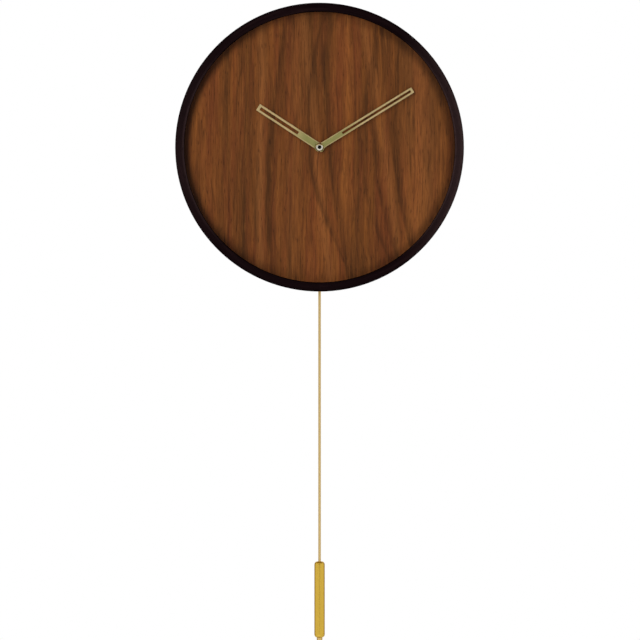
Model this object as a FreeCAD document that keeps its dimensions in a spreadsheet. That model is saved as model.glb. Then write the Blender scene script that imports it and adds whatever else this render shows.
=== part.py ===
import FreeCAD, Part
import os
import re

import Sketcher
from FreeCAD import Placement, Rotation, Vector

# A pendulum wall clock: a deep wooden ring, a walnut dial set back in it, two slotted brass hands, a battery
# movement behind the dial, and a brass rod and bob that swing below the ring. Millimetres and degrees.
#
# The origin is the round hole of the keyhole plate, in the plane of the ring's back. +X is to the right of
# someone who looks at the dial, +Z is up, and the dial faces -Y.
#
# Most pieces are drawn as if the clock lay on its back: their own X and Y are the clock's right and up, counted
# from the hands' axis, and their own Z is the distance forward from the ring's back.

doc = FreeCAD.newDocument("pendulum_wall_clock")

# Driving dimensions. Shares and counts have no length.
SIZES = {
    # case ring
    "case_radius": "165",
    "case_depth": "55",
    "rim_width": "10",
    "rim_round": "3",
    "rim_inner_round": "1",
    "notch_width": "50",
    "notch_depth": "16",
    # dial and what carries it
    "dial_recess": "18",
    "veneer_thickness": "0.6",
    "board_thickness": "6",
    "dial_clearance": "0.3",
    "dial_hole_clearance": "0.3",
    "seat_width": "9",
    "seat_depth": "12",
    "glue_gap": "0.1",
    "dial_screw_count": "6",
    # wood screws
    "screw_radius": "1.5",
    "screw_head_radius": "3",
    "screw_head_height": "1.8",
    "screw_head_round": "1.4",
    "screw_bite": "5",
    "screw_tip": "1.2",
    "thread_gap": "0.02",
    # wall hanger
    "hanger_margin": "35",
    "hanger_block_width": "80",
    "hanger_block_below": "14",
    "hanger_plate_width": "56",
    "hanger_plate_below": "10",
    "hanger_plate_above": "16",
    "hanger_plate_thickness": "1.5",
    "keyhole_radius": "4.5",
    "keyhole_slot_radius": "2.25",
    "keyhole_slot_rise": "9",
    "head_pocket_margin": "1.2",
    "head_pocket_depth": "8",
    "hanger_screw_spacing": "40",
    "hanger_screw_length": "13",
    # wall bumpers
    "bumper_radius": "4",
    "bumper_thickness": "1.5",
    "bumper_round": "0.6",
    "bumper_count": "4",
    # movement housing
    "movement_width": "56",
    "movement_below": "28",
    "movement_above": "78",
    "movement_depth": "16",
    "floor_thickness": "1.2",
    "cover_thickness": "1.4",
    "housing_wall": "1.5",
    "partition_thickness": "0.8",
    "partition_inset": "0.3",
    "ear_length": "8",
    "ear_height": "8",
    "ear_thickness": "2",
    "lower_ear_drop": "14",
    "upper_ear_rise": "64",
    "cover_post_radius": "2.2",
    "cover_screw_radius": "1",
    "cover_screw_head_radius": "1.9",
    "cover_screw_head_height": "1.2",
    "cover_screw_head_round": "0.8",
    "cover_screw_length": "8",
    "cover_screw_tip": "0.6",
    "lower_cover_screw_aside": "22.3",
    "lower_cover_screw_drop": "7.5",
    "upper_cover_screw_aside": "24.6",
    "upper_cover_screw_rise": "74.6",
    # hand tubes
    "bush_radius": "3.6",
    "bush_stand": "0.6",
    "running_gap": "0.05",
    "fitting_gap": "0.02",
    "minute_arbor_radius": "1.6",
    "hour_tube_radius": "2.6",
    "hour_tube_stand": "4",
    "minute_thread_radius": "1.4",
    "minute_thread_length": "2.4",
    # hands
    "hand_thickness": "0.6",
    "hand_corner_round": "0.4",
    "hand_tail": "5.5",
    "hand_tail_round": "2.4",
    "hour_hand_reach": "84",
    "hour_hand_width": "8.3",
    "hour_slot_start": "29.2",
    "hour_slot_end": "80.9",
    "hour_rail_width": "2.3",
    "hour_hand_stand": "2.6",
    "hour_hand_angle": "303.1",
    "minute_hand_reach": "125",
    "minute_hand_width": "6.9",
    "minute_slot_start": "30.5",
    "minute_slot_end": "122.4",
    "minute_rail_width": "2.1",
    "minute_hand_stand": "5.6",
    "minute_hand_angle": "58.4",
    "collet_flange_radius": "3.4",
    "collet_flange_height": "1.2",
    "collet_lip_width": "0.6",
    "collet_lip_height": "0.2",
    "cap_radius": "4.7",
    "cap_height": "4.2",
    "cap_round": "2.8",
    # motion work: the layers are counted behind the housing's floor
    "motion_module": "0.5",
    "cannon_teeth": "12",
    "intermediate_teeth": "36",
    "hour_pinion_teeth": "12",
    "hour_teeth": "48",
    "setting_teeth": "10",
    "motion_line_angle": "30",
    "setting_line_angle": "30",
    "wheel_thickness": "0.8",
    "pinion_overlap": "0.3",
    "hour_wheel_layer": "0.5",
    "intermediate_wheel_layer": "2.6",
    "post_radius": "1",
    # going train
    "centre_module": "0.32",
    "train_module": "0.3",
    "step_module": "0.25",
    "centre_teeth": "64",
    "third_pinion_teeth": "8",
    "third_teeth": "60",
    "second_pinion_teeth": "8",
    "second_teeth": "40",
    "step_pinion_teeth": "8",
    "step_teeth": "36",
    "rotor_teeth": "6",
    "third_line_angle": "135",
    "second_line_angle": "60",
    "step_line_angle": "-10",
    "rotor_line_angle": "30",
    "centre_wheel_layer": "4.2",
    "third_wheel_layer": "6",
    "second_wheel_layer": "7.5",
    "step_wheel_layer": "9",
    "train_arbor_radius": "0.5",
    "boss_radius": "1.2",
    "boss_clearance": "0.6",
    "pivot_depth": "0.8",
    "arbor_shoulder_radius": "2.2",
    "arbor_rear_radius": "1.1",
    "arbor_pivot_radius": "0.8",
    "clutch_gap": "0.05",
    "clutch_thickness": "0.4",
    "clutch_leg_reach": "4.5",
    "clutch_leg_width": "1.6",
    "clutch_leg_count": "3",
    # tooth form: heights in modules, half widths in tooth pitches
    "wheel_tip_share": "0.8",
    "wheel_root_share": "1.15",
    "wheel_root_width_share": "0.2",
    "wheel_pitch_width_share": "0.175",
    "wheel_tip_width_share": "0.07",
    "pinion_tip_share": "0.65",
    "pinion_root_share": "1.25",
    "pinion_root_width_share": "0.13",
    "pinion_pitch_width_share": "0.165",
    "pinion_tip_width_share": "0.07",
    # train bridge
    "bridge_layer": "10.6",
    "bridge_thickness": "1.2",
    "bridge_left": "19.5",
    "bridge_right": "13.5",
    "bridge_below": "10",
    "bridge_above": "22.4",
    "pillar_radius": "1.8",
    "pillar_peg_radius": "0.9",
    "pillar_left": "16.5",
    "pillar_right": "11",
    "pillar_below": "7.5",
    "pillar_above": "20",
    # stepping motor
    "magnet_radius": "2.3",
    "magnet_thickness": "2.4",
    "magnet_layer": "5.2",
    "stator_gap": "0.6",
    "stator_ring_width": "1.5",
    "stator_layer": "5.9",
    "stator_thickness": "1",
    "stator_bar_width": "2.7",
    "stator_left": "7.6",
    "stator_right": "15.4",
    "stator_rise": "10",
    "stator_post_radius": "1.2",
    "core_width": "1.6",
    "core_thickness": "1",
    "core_edge": "1.5",
    "bobbin_bore_radius": "1",
    "bobbin_wall": "0.5",
    "bobbin_flange_radius": "3",
    "bobbin_flange_thickness": "0.6",
    "bobbin_length": "15",
    "winding_radius": "2.8",
    "winding_gap": "0.05",
    # circuit board
    "circuit_width": "48",
    "circuit_below": "30.5",
    "circuit_above": "39.5",
    "circuit_layer": "8",
    "circuit_thickness": "1",
    "circuit_post_aside": "20",
    "circuit_post_radius": "2.2",
    "circuit_peg_radius": "0.9",
    "chip_radius": "4",
    "chip_height": "1.4",
    "chip_round": "1.2",
    "chip_aside": "8",
    "can_radius": "1",
    "can_length": "6",
    "can_start": "4",
    # battery and its contacts
    "battery_radius": "7.1",
    "battery_length": "50.5",
    "battery_nub_radius": "2.7",
    "battery_nub_length": "1",
    "battery_clearance": "0.1",
    "contact_gap": "0.05",
    "contact_thickness": "0.4",
    "contact_width": "5",
    "contact_tab": "3",
    "contact_drop": "23",
    # setting knob
    "knob_radius": "6",
    "knob_height": "3",
    "knob_socket_depth": "1.5",
    "knob_shaft_radius": "1.5",
    "knob_clearance": "0.3",
    "knob_groove_count": "16",
    "knob_groove_radius": "0.5",
    # pendulum drive
    "pivot_rise": "70",
    "pivot_pin_radius": "1.25",
    "pivot_boss_radius": "4",
    "pivot_pin_bite": "8",
    "pivot_groove_depth": "0.3",
    "clip_radius": "2.6",
    "clip_thickness": "0.4",
    "clip_gap": "0.2",
    "clip_opening": "1.6",
    "pin_end": "0.6",
    "coil_rise": "52",
    "drive_post_radius": "3",
    "drive_peg_radius": "2",
    "drive_bobbin_wall": "1.2",
    "drive_bobbin_radius": "10.5",
    "drive_bobbin_length": "5",
    "drive_flange_thickness": "0.8",
    "drive_winding_radius": "9.8",
    # pendulum
    "lever_gap": "0.3",
    "lever_standoff": "0.9",
    "lever_width": "8",
    "lever_thickness": "3.2",
    "lever_eye_radius": "6",
    "lever_disc_radius": "8",
    "lever_bottom_drop": "46",
    "pendulum_magnet_radius": "6",
    "pendulum_magnet_thickness": "2.4",
    "hook_drop": "40",
    "hook_peg_radius": "1.5",
    "hook_peg_length": "2.4",
    "hook_head_radius": "2.4",
    "hook_head_thickness": "0.8",
    "hook_fall": "6",
    "hook_clearance": "0.2",
    "strip_thickness": "1",
    "strip_above": "6",
    "strip_length": "30",
    "strip_taper": "10",
    "strip_foot_width": "4",
    "sleeve_radius": "2.5",
    "sleeve_length": "16",
    "sleeve_bore_depth": "7.5",
    "rod_radius": "1.5",
    "bob_radius": "6",
    "bob_length": "88",
    "bob_round": "3.8",
    "bob_top_drop": "476",
    "rating_nut_radius": "3.2",
    "rating_nut_height": "4.5",
    "rating_nut_chamfer": "0.6",
    "rod_end": "1",
    # cutting
    "overrun": "1",
}

# Places that follow from the sizes
PLACES = {
    "case_inner_radius": "case_radius - rim_width",
    "dial_face": "case_depth - dial_recess",
    "board_front": "dial_face - veneer_thickness",
    "board_back": "board_front - board_thickness",
    "seat_back": "board_back - seat_depth",
    "dial_radius": "case_inner_radius - dial_clearance",
    "dial_screw_circle": "case_inner_radius - seat_width / 2",
    "dial_hole_radius": "bush_radius + dial_hole_clearance",
    "screw_hole_radius": "screw_radius + thread_gap",
    "housing_floor": "board_back - floor_thickness",
    "floor_middle": "board_back - floor_thickness / 2",
    "cover_back": "board_back - movement_depth",
    "cover_front": "cover_back + cover_thickness",
    "movement_half_width": "movement_width / 2",
    "housing_half_width": "movement_half_width - housing_wall",
    "housing_bottom": "housing_wall - movement_below",
    "housing_top": "movement_above - housing_wall",
    "battery_rise": "housing_bottom + battery_clearance + battery_radius",
    "bay_top": "battery_rise + battery_clearance + battery_radius",
    "battery_station": "housing_floor - battery_clearance - battery_radius",
    "contact_inner": "battery_length / 2 + contact_gap",
    "contact_outer": "contact_inner + contact_thickness",
    "bush_front": "dial_face + bush_stand",
    "bush_bore_radius": "hour_tube_radius + running_gap",
    "hanger_drop": "case_radius - hanger_margin",
    "hour_tube_front": "dial_face + hour_tube_stand",
    "hour_bore_radius": "minute_arbor_radius + running_gap",
    "minute_arbor_front": "dial_face + minute_hand_stand + hand_thickness + collet_lip_height",
    "motion_distance": "motion_module * (cannon_teeth + intermediate_teeth) / 2",
    "hour_module": "2 * motion_distance / (hour_pinion_teeth + hour_teeth)",
    "setting_distance": "motion_module * (intermediate_teeth + setting_teeth) / 2",
    "third_distance": "centre_module * (centre_teeth + third_pinion_teeth) / 2",
    "second_distance": "train_module * (third_teeth + second_pinion_teeth) / 2",
    "step_distance": "train_module * (second_teeth + step_pinion_teeth) / 2",
    "rotor_distance": "step_module * (step_teeth + rotor_teeth) / 2",
    "intermediate_x": "motion_distance * cos(motion_line_angle * 1 deg)",
    "intermediate_y": "motion_distance * sin(motion_line_angle * 1 deg)",
    "knob_x": "intermediate_x + setting_distance * cos(setting_line_angle * 1 deg)",
    "knob_y": "intermediate_y + setting_distance * sin(setting_line_angle * 1 deg)",
    "third_x": "third_distance * cos(third_line_angle * 1 deg)",
    "third_y": "third_distance * sin(third_line_angle * 1 deg)",
    "second_x": "third_x + second_distance * cos(second_line_angle * 1 deg)",
    "second_y": "third_y + second_distance * sin(second_line_angle * 1 deg)",
    "step_x": "second_x + step_distance * cos(step_line_angle * 1 deg)",
    "step_y": "second_y + step_distance * sin(step_line_angle * 1 deg)",
    "rotor_x": "step_x + rotor_distance * cos(rotor_line_angle * 1 deg)",
    "rotor_y": "step_y + rotor_distance * sin(rotor_line_angle * 1 deg)",
    "bridge_front": "housing_floor - bridge_layer",
    "bridge_back": "bridge_front - bridge_thickness",
    "centre_front": "housing_floor - centre_wheel_layer",
    "clutch_front": "centre_front - wheel_thickness - clutch_gap",
    "clutch_back": "clutch_front - clutch_thickness",
    "magnet_front": "housing_floor - magnet_layer",
    "stator_front": "housing_floor - stator_layer",
    "stator_back": "stator_front - stator_thickness",
    "stator_left_x": "rotor_x - stator_left",
    "stator_right_x": "rotor_x + stator_right",
    "stator_top": "rotor_y + stator_rise",
    "core_rise": "stator_top - core_edge - core_width / 2",
    "core_station": "stator_back - core_thickness / 2",
    "bobbin_start": "(stator_left_x + stator_right_x - bobbin_length) / 2",
    "circuit_front": "housing_floor - circuit_layer",
    "circuit_back": "circuit_front - circuit_thickness",
    "circuit_rise": "(circuit_below + circuit_above) / 2",
    "drive_bobbin_back": "cover_front + winding_gap",
    "drive_bobbin_front": "drive_bobbin_back + drive_bobbin_length",
    "pivot_hole_radius": "pivot_pin_radius + fitting_gap",
    "pivot_groove_radius": "pivot_pin_radius - pivot_groove_depth",
    "lever_front": "cover_back - lever_standoff - lever_gap",
    "lever_back": "lever_front - lever_thickness",
    "clip_front": "lever_back - clip_gap",
    "clip_back": "clip_front - clip_thickness",
    "rod_station": "lever_back - strip_thickness / 2",
    "strip_top_drop": "hook_drop - strip_above",
    "strip_foot_drop": "strip_top_drop + strip_length",
    "sleeve_top_drop": "strip_foot_drop - sleeve_length / 2",
    "sleeve_bottom_drop": "strip_foot_drop + sleeve_length / 2",
    "rod_top_drop": "sleeve_bottom_drop - sleeve_bore_depth",
    "bob_bottom_drop": "bob_top_drop + bob_length",
    "rating_nut_bottom_drop": "bob_bottom_drop + rating_nut_height",
    "rod_bottom_drop": "rating_nut_bottom_drop + rod_end",
}


def bound(text):
    """The text of an expression, with each name led by the sheet that holds it."""

    def with_sheet(found):
        word = found[0]
        if word in SIZES:
            return "Sizes." + word
        if word in PLACES:
            return "Places." + word
        return word

    return re.sub(r"[a-z_]+", with_sheet, text)


def fill_sheet(name, cells):
    """A sheet with a name and a value in each row, each value known by its name."""
    sheet = doc.addObject("Spreadsheet::Sheet", name)
    for row, (alias, content) in enumerate(cells.items(), start=1):
        sheet.set(f"A{row}", alias)
        sheet.set(f"B{row}", content)
        sheet.setAlias(f"B{row}", alias)
    doc.recompute()
    return sheet


sizes_sheet = fill_sheet("Sizes", SIZES)
fill_sheet("Places", {name: "=" + bound(text) for name, text in PLACES.items()})

pieces = []


def size(text):
    """The present value of an expression."""
    return float(sizes_sheet.evalExpression(bound(text)))


# Sketches


def new_body(label):
    """A body for one piece."""
    body = doc.addObject("PartDesign::Body", label)
    body.Label = label
    pieces.append(body)
    return body


def new_sketch(body, station="0", role="XY_Plane", turn="0"):
    """A sketch on one of the body's own planes, moved along the plane's normal and turned about it."""
    sketch = body.newObject("Sketcher::SketchObject", body.Name + "_sketch")
    plane = next(item for item in body.Origin.OriginFeatures if item.Role == role)
    sketch.AttachmentSupport = [(plane, "")]
    sketch.MapMode = "FlatFace"
    sketch.AttachmentOffset = Placement(Vector(0, 0, 0), Rotation(Vector(0, 0, 1), 1))
    sketch.setExpression("AttachmentOffset.Rotation.Angle", bound(turn))
    sketch.setExpression("AttachmentOffset.Base.z", bound(station))
    return sketch


def hold(sketch, constraint, text):
    """Adds a constraint whose value follows an expression."""
    index = sketch.addConstraint(constraint)
    sketch.setExpression(f"Constraints[{index}]", bound(text))


def hold_point(sketch, element, corner, x, y):
    """Holds one point of a sketch at a place given by two expressions."""
    hold(sketch, Sketcher.Constraint("DistanceX", -1, 1, element, corner, size(x)), x)
    hold(sketch, Sketcher.Constraint("DistanceY", -1, 1, element, corner, size(y)), y)


def draw_outline(sketch, points):
    """A closed outline of straight lines through points given by expressions."""
    first = sketch.GeometryCount
    count = len(points)
    corners = [Vector(size(x), size(y), 0) for x, y in points]
    for start, end in zip(corners, corners[1:] + corners[:1]):
        sketch.addGeometry(Part.LineSegment(start, end))
    for step in range(count):
        after = first + (step + 1) % count
        sketch.addConstraint(Sketcher.Constraint("Coincident", first + step, 2, after, 1))
    for step, (x, y) in enumerate(points):
        hold_point(sketch, first + step, 1, x, y)


def draw_rectangle(sketch, left, bottom, right, top):
    """A rectangle between two corners."""
    draw_outline(sketch, [(left, bottom), (right, bottom), (right, top), (left, top)])


def draw_circle(sketch, x, y, radius):
    """A circle with its centre and radius given by expressions."""
    centre = Vector(size(x), size(y), 0)
    element = sketch.addGeometry(Part.Circle(centre, Vector(0, 0, 1), size(radius)))
    hold_point(sketch, element, 3, x, y)
    hold(sketch, Sketcher.Constraint("Radius", element, size(radius)), radius)


# Features


def add_feature(body, kind, sketch, length):
    """A pad or a pocket of a given length, made from a sketch."""
    feature = body.newObject("PartDesign::" + kind, f"{body.Name}_{kind.lower()}")
    feature.Profile = sketch
    feature.setExpression("Length", bound(length))
    doc.recompute()
    return feature


def pad(body, sketch, length):
    """Material from the sketch's plane forward."""
    return add_feature(body, "Pad", sketch, length)


def pocket(body, sketch, length):
    """A cut from the sketch's plane backward, which has to remove something."""
    before = body.Shape.Volume
    feature = add_feature(body, "Pocket", sketch, length)
    if not body.Shape.Volume < before:
        raise RuntimeError(f"{body.Label}: a pocket removes nothing")
    return feature


def block(body, corners, back, front):
    """Material between two stations, over a rectangle given as left, bottom, right and top."""
    sketch = new_sketch(body, back)
    draw_rectangle(sketch, *corners)
    return pad(body, sketch, f"({front}) - ({back})")


def window(body, corners, back, front):
    """A rectangular cut between two stations."""
    sketch = new_sketch(body, front)
    draw_rectangle(sketch, *corners)
    return pocket(body, sketch, f"({front}) - ({back})")


def studs(body, places, radius, back, front):
    """Round material at each place, between two stations."""
    sketch = new_sketch(body, back)
    for x, y in places:
        draw_circle(sketch, x, y, radius)
    return pad(body, sketch, f"({front}) - ({back})")


def bores(body, places, radius, back, front):
    """Round holes at each place, between two stations."""
    sketch = new_sketch(body, front)
    for x, y in places:
        draw_circle(sketch, x, y, radius)
    return pocket(body, sketch, f"({front}) - ({back})")


def turned(body, points):
    """A solid turned about the body's Z axis, from points of radius and height."""
    sketch = new_sketch(body, role="XZ_Plane")
    draw_outline(sketch, points)
    feature = body.newObject("PartDesign::Revolution", body.Name + "_revolution")
    feature.Profile = sketch
    feature.ReferenceAxis = (sketch, ["V_Axis"])
    feature.Angle = 360
    doc.recompute()
    return feature


def repeat_round(body, feature, count):
    """A feature repeated about the body's Z axis."""
    pattern = body.newObject("PartDesign::PolarPattern", body.Name + "_pattern")
    pattern.Originals = [feature]
    pattern.Axis = (feature.Profile[0], ["N_Axis"])
    pattern.Angle = 360
    pattern.setExpression("Occurrences", bound(count))
    body.Tip = pattern
    doc.recompute()
    return pattern


def dress(body, kind, names, amount, field):
    """A fillet or a chamfer on edges of the body's last feature."""
    if not names:
        raise RuntimeError(f"{body.Label}: no edges for a {kind}")
    base = body.Tip
    feature = body.newObject("PartDesign::" + kind, f"{body.Name}_{kind.lower()}")
    feature.Base = (base, names)
    feature.setExpression(field, bound(amount))
    doc.recompute()
    return feature


def fillet(body, names, radius):
    """Rounded edges."""
    return dress(body, "Fillet", names, radius, "Radius")


def chamfer(body, names, amount):
    """Bevelled edges."""
    return dress(body, "Chamfer", names, amount, "Size")


# Edges are told apart to this share of the fitting gap.
EDGE_MATCH_SHARE = 0.01


def rings_at(feature, radius, height):
    """The names of a feature's round edges of one radius at one height."""
    slack = size("fitting_gap") * EDGE_MATCH_SHARE
    names = []
    for number, edge in enumerate(feature.Shape.Edges, start=1):
        if not isinstance(edge.Curve, Part.Circle):
            continue
        same_radius = abs(edge.Curve.Radius - size(radius)) < slack
        if same_radius and abs(edge.Curve.Center.z - size(height)) < slack:
            names.append(f"Edge{number}")
    return names


def upright_edges(feature, nearest, farthest):
    """The names of a feature's straight edges along Z between two distances from the Z axis."""
    names = []
    for number, edge in enumerate(feature.Shape.Edges, start=1):
        start, end = edge.Vertexes[0].Point, edge.Vertexes[-1].Point
        distance = (start.x**2 + start.y**2) ** 0.5
        same_foot = (start - end).cross(Vector(0, 0, 1)).Length < size("fitting_gap")
        if same_foot and size(nearest) < distance < size(farthest):
            names.append(f"Edge{number}")
    return names


# Placing


def place(piece, x="0", y="0", station="0", axis=Vector(1, 0, 0)):
    """Puts a drawn piece in the clock. Its Z points forward, or to the right if it's turned about Y."""
    piece.Placement = Placement(Vector(0, 0, 0), Rotation(axis, 90))
    piece.setExpression("Placement.Base.x", bound(x))
    piece.setExpression("Placement.Base.y", bound(f"-({station})"))
    piece.setExpression("Placement.Base.z", bound(f"({y}) - hanger_drop"))


def hang(piece):
    """Puts a piece that was drawn upright on the line of the pendulum rod."""
    piece.setExpression("Placement.Base.y", bound("-rod_station"))
    piece.setExpression("Placement.Base.z", bound("-hanger_drop"))


def group_of(label, master, places, station):
    """One piece made of separate copies of a master, at each place."""
    copies = []
    for x, y in places:
        copy = doc.addObject("App::Link", label + "_copy")
        copy.LinkedObject = master
        copy.setExpression("Placement.Base.x", bound(x))
        copy.setExpression("Placement.Base.y", bound(y))
        copy.setExpression("Placement.Base.z", bound(station))
        copies.append(copy)
    group = doc.addObject("Part::Compound", label)
    group.Label = label
    group.Links = copies
    place(group)
    pieces.append(group)


def new_master(name):
    """A body that's only copied, and isn't a piece itself."""
    return doc.addObject("PartDesign::Body", name)


def round_places(radius, count, start_share):
    """Places spaced evenly on a circle about the hands' axis."""
    places = []
    for step in range(round(size(count))):
        angle = f"(({step} + {start_share}) * 360 / {count} * 1 deg)"
        places.append((f"{radius} * cos({angle})", f"{radius} * sin({angle})"))
    return places


AXIS = [("0", "0")]


# Case and dial


def make_case_ring():
    """The wooden ring, rounded at the front, with a notch in its back for the pendulum rod."""
    body = new_body("case_ring")
    ring = turned(body, [
        ("case_inner_radius", "0"),
        ("case_radius", "0"),
        ("case_radius", "case_depth"),
        ("case_inner_radius", "case_depth"),
    ])
    outer_rounded = fillet(body, rings_at(ring, "case_radius", "case_depth"), "rim_round")
    fillet(body, rings_at(outer_rounded, "case_inner_radius", "case_depth"), "rim_inner_round")
    notch = ("-notch_width / 2", "-case_radius - overrun", "notch_width / 2", "rim_width - case_inner_radius")
    window(body, notch, "-overrun", "notch_depth")
    place(body)


def make_dial_seat_ring():
    """The plywood ring glued inside the case, with a hole for each dial screw."""
    body = new_body("dial_seat_ring")
    turned(body, [
        ("case_inner_radius - seat_width", "seat_back"),
        ("case_inner_radius - glue_gap", "seat_back"),
        ("case_inner_radius - glue_gap", "board_back"),
        ("case_inner_radius - seat_width", "board_back"),
    ])
    hole = bores(body, [("dial_screw_circle", "0")], "screw_hole_radius", "seat_back - overrun", "board_back")
    repeat_round(body, hole, "dial_screw_count")
    place(body)


def make_dial_board():
    """The board behind the veneer, with the hands' hole and pilot holes for the screws."""
    body = new_body("dial_board")
    turned(body, [
        ("dial_hole_radius", "board_back"),
        ("dial_radius", "board_back"),
        ("dial_radius", "board_front"),
        ("dial_hole_radius", "board_front"),
    ])
    pilot_end = "board_back + screw_bite"
    bores(body, movement_screw_places(), "screw_hole_radius", "board_back - overrun", pilot_end)
    pilot = bores(body, [("dial_screw_circle", "0")], "screw_hole_radius", "board_back - overrun", pilot_end)
    repeat_round(body, pilot, "dial_screw_count")
    place(body)


def make_dial_veneer():
    """The walnut sheet glued on the board."""
    body = new_body("dial_veneer")
    turned(body, [
        ("dial_hole_radius", "board_front"),
        ("dial_radius", "board_front"),
        ("dial_radius", "dial_face"),
        ("dial_hole_radius", "dial_face"),
    ])
    place(body)


def screw_master(name, radius, head_radius, head_height, head_round, length, tip):
    """A round-headed screw that points forward, its head's seat at height zero."""
    body = new_master(name)
    head = studs(body, AXIS, head_radius, f"-{head_height}", "0")
    fillet(body, rings_at(head, head_radius, f"-{head_height}"), head_round)
    shank = studs(body, AXIS, radius, f"-{head_height} / 2", length)
    chamfer(body, rings_at(shank, radius, length), tip)
    return body


def make_wood_screws():
    """The screws from the seat ring into the board, and from the movement's ears into the board."""
    head = ("screw_radius", "screw_head_radius", "screw_head_height", "screw_head_round")
    long_screw = screw_master("long_screw", *head, "seat_depth + screw_bite", "screw_tip")
    group_of("dial_screws", long_screw, round_places("dial_screw_circle", "dial_screw_count", 0), "seat_back")
    short_screw = screw_master("short_screw", *head, "ear_thickness + screw_bite", "screw_tip")
    group_of("movement_screws", short_screw, movement_screw_places(), "board_back - ear_thickness")


# Wall hanger


def hanger_screw_places():
    """Where the keyhole plate is screwed to its block."""
    return [("-hanger_screw_spacing / 2", "hanger_drop"), ("hanger_screw_spacing / 2", "hanger_drop")]


def make_hanger_block():
    """The block glued behind the ring's top, with a pocket for the head of the wall's screw."""
    body = new_body("hanger_block")
    left, right = "-hanger_block_width / 2", "hanger_block_width / 2"
    edges = (left, "hanger_drop - hanger_block_below", right, "case_radius")
    block(body, edges, "hanger_plate_thickness", "seat_back")
    arch = new_sketch(body, "seat_back")
    draw_circle(arch, "0", "0", "case_inner_radius - glue_gap")
    draw_circle(arch, "0", "0", "case_radius + hanger_block_width")
    pocket(body, arch, "seat_back")
    head_room = "(keyhole_radius + head_pocket_margin)"
    pocket_top = f"hanger_drop + keyhole_slot_rise + {head_room}"
    head_pocket = (f"-{head_room}", f"hanger_drop - {head_room}", head_room, pocket_top)
    window(body, head_pocket, "0", "hanger_plate_thickness + head_pocket_depth")
    bores(body, hanger_screw_places(), "screw_hole_radius", "0", "hanger_screw_length")
    place(body)


def make_hanger_plate():
    """The steel keyhole plate, flush with the ring's back, with two countersunk holes."""
    body = new_body("hanger_plate")
    left, right = "-hanger_plate_width / 2", "hanger_plate_width / 2"
    edges = (left, "hanger_drop - hanger_plate_below", right, "hanger_drop + hanger_plate_above")
    block(body, edges, "0", "hanger_plate_thickness")
    through = ("-overrun", "hanger_plate_thickness")
    slot_top = "hanger_drop + keyhole_slot_rise"
    bores(body, [("0", "hanger_drop")], "keyhole_radius", *through)
    window(body, ("-keyhole_slot_radius", "hanger_drop", "keyhole_slot_radius", slot_top), *through)
    bores(body, [("0", slot_top)], "keyhole_slot_radius", *through)
    screw_holes = bores(body, hanger_screw_places(), "screw_hole_radius", *through)
    chamfer(body, rings_at(screw_holes, "screw_hole_radius", "0"), "hanger_plate_thickness - fitting_gap")
    place(body)


def make_hanger_screws():
    """The two countersunk screws of the keyhole plate."""
    master = new_master("countersunk_screw")
    cone = "(hanger_plate_thickness - thread_gap)"
    turned(master, [
        ("0", "0"),
        (f"screw_radius + {cone}", "0"),
        ("screw_radius", cone),
        ("screw_radius", "hanger_screw_length - screw_tip"),
        ("screw_radius - screw_tip", "hanger_screw_length"),
        ("0", "hanger_screw_length"),
    ])
    group_of("hanger_screws", master, hanger_screw_places(), "0")


def make_wall_bumpers():
    """The soft pads on the ring's back."""
    master = new_master("wall_bumper")
    disc = studs(master, AXIS, "bumper_radius", "-bumper_thickness", "0")
    fillet(master, rings_at(disc, "bumper_radius", "-bumper_thickness"), "bumper_round")
    group_of("wall_bumpers", master, round_places("(case_radius - rim_width / 2)", "bumper_count", 0.5), "0")


# Movement housing


def movement_screw_places():
    """Where the four ears are screwed to the board."""
    aside = "(movement_half_width + ear_length / 2)"
    rises = ("-lower_ear_drop", "upper_ear_rise")
    return [(sign + aside, rise) for sign in ("-", "") for rise in rises]


def cover_screw_places():
    """Where the cover is screwed to the housing."""
    lower = [(sign + "lower_cover_screw_aside", "-lower_cover_screw_drop") for sign in ("-", "")]
    upper = [(sign + "upper_cover_screw_aside", "upper_cover_screw_rise") for sign in ("-", "")]
    return lower + upper


def pillar_places():
    """Where the pillars of the train bridge stand."""
    left = [("-pillar_left", "-pillar_below"), ("-pillar_left", "pillar_above")]
    return left + [("pillar_right", "-pillar_below")]


def circuit_post_places():
    """Where the circuit board rests."""
    return [("-circuit_post_aside", "circuit_rise"), ("circuit_post_aside", "circuit_rise")]


def stator_post_places():
    """Where the stator rests: at the top of its left arm and the foot of its right arm."""
    return [
        ("stator_left_x + stator_bar_width / 2", "stator_top - core_edge"),
        ("stator_right_x - stator_bar_width / 2", "rotor_y"),
    ]


# Each axis of the going train, with the layer of the first thing on it behind the floor
TRAIN_AXES = {
    "third": ("third_x", "third_y", "centre_wheel_layer"),
    "second": ("second_x", "second_y", "third_wheel_layer"),
    "step": ("step_x", "step_y", "stator_layer"),
    "rotor": ("rotor_x", "rotor_y", "magnet_layer"),
}


def boss_end(layer):
    """The station where a pivot's boss ends, in front of the first thing on its axis."""
    return f"housing_floor - {layer} + boss_clearance"


def make_movement_case():
    """The housing's front shell: walls, battery bay, ears, hand bush, and every boss, post and pillar."""
    body = new_body("movement_case")
    outside = ("-movement_half_width", "-movement_below", "movement_half_width", "movement_above")
    block(body, outside, "cover_front", "board_back")
    inside = ("-housing_half_width", "housing_bottom", "housing_half_width", "housing_top")
    window(body, inside, "cover_front - overrun", "housing_floor")
    partition_end = "(battery_length / 2 - partition_inset)"
    partition = (f"-{partition_end}", "bay_top", partition_end, "bay_top + partition_thickness")
    block(body, partition, "cover_front", "floor_middle")
    add_ears(body)
    add_axes(body)
    add_posts(body)
    place(body)


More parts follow.
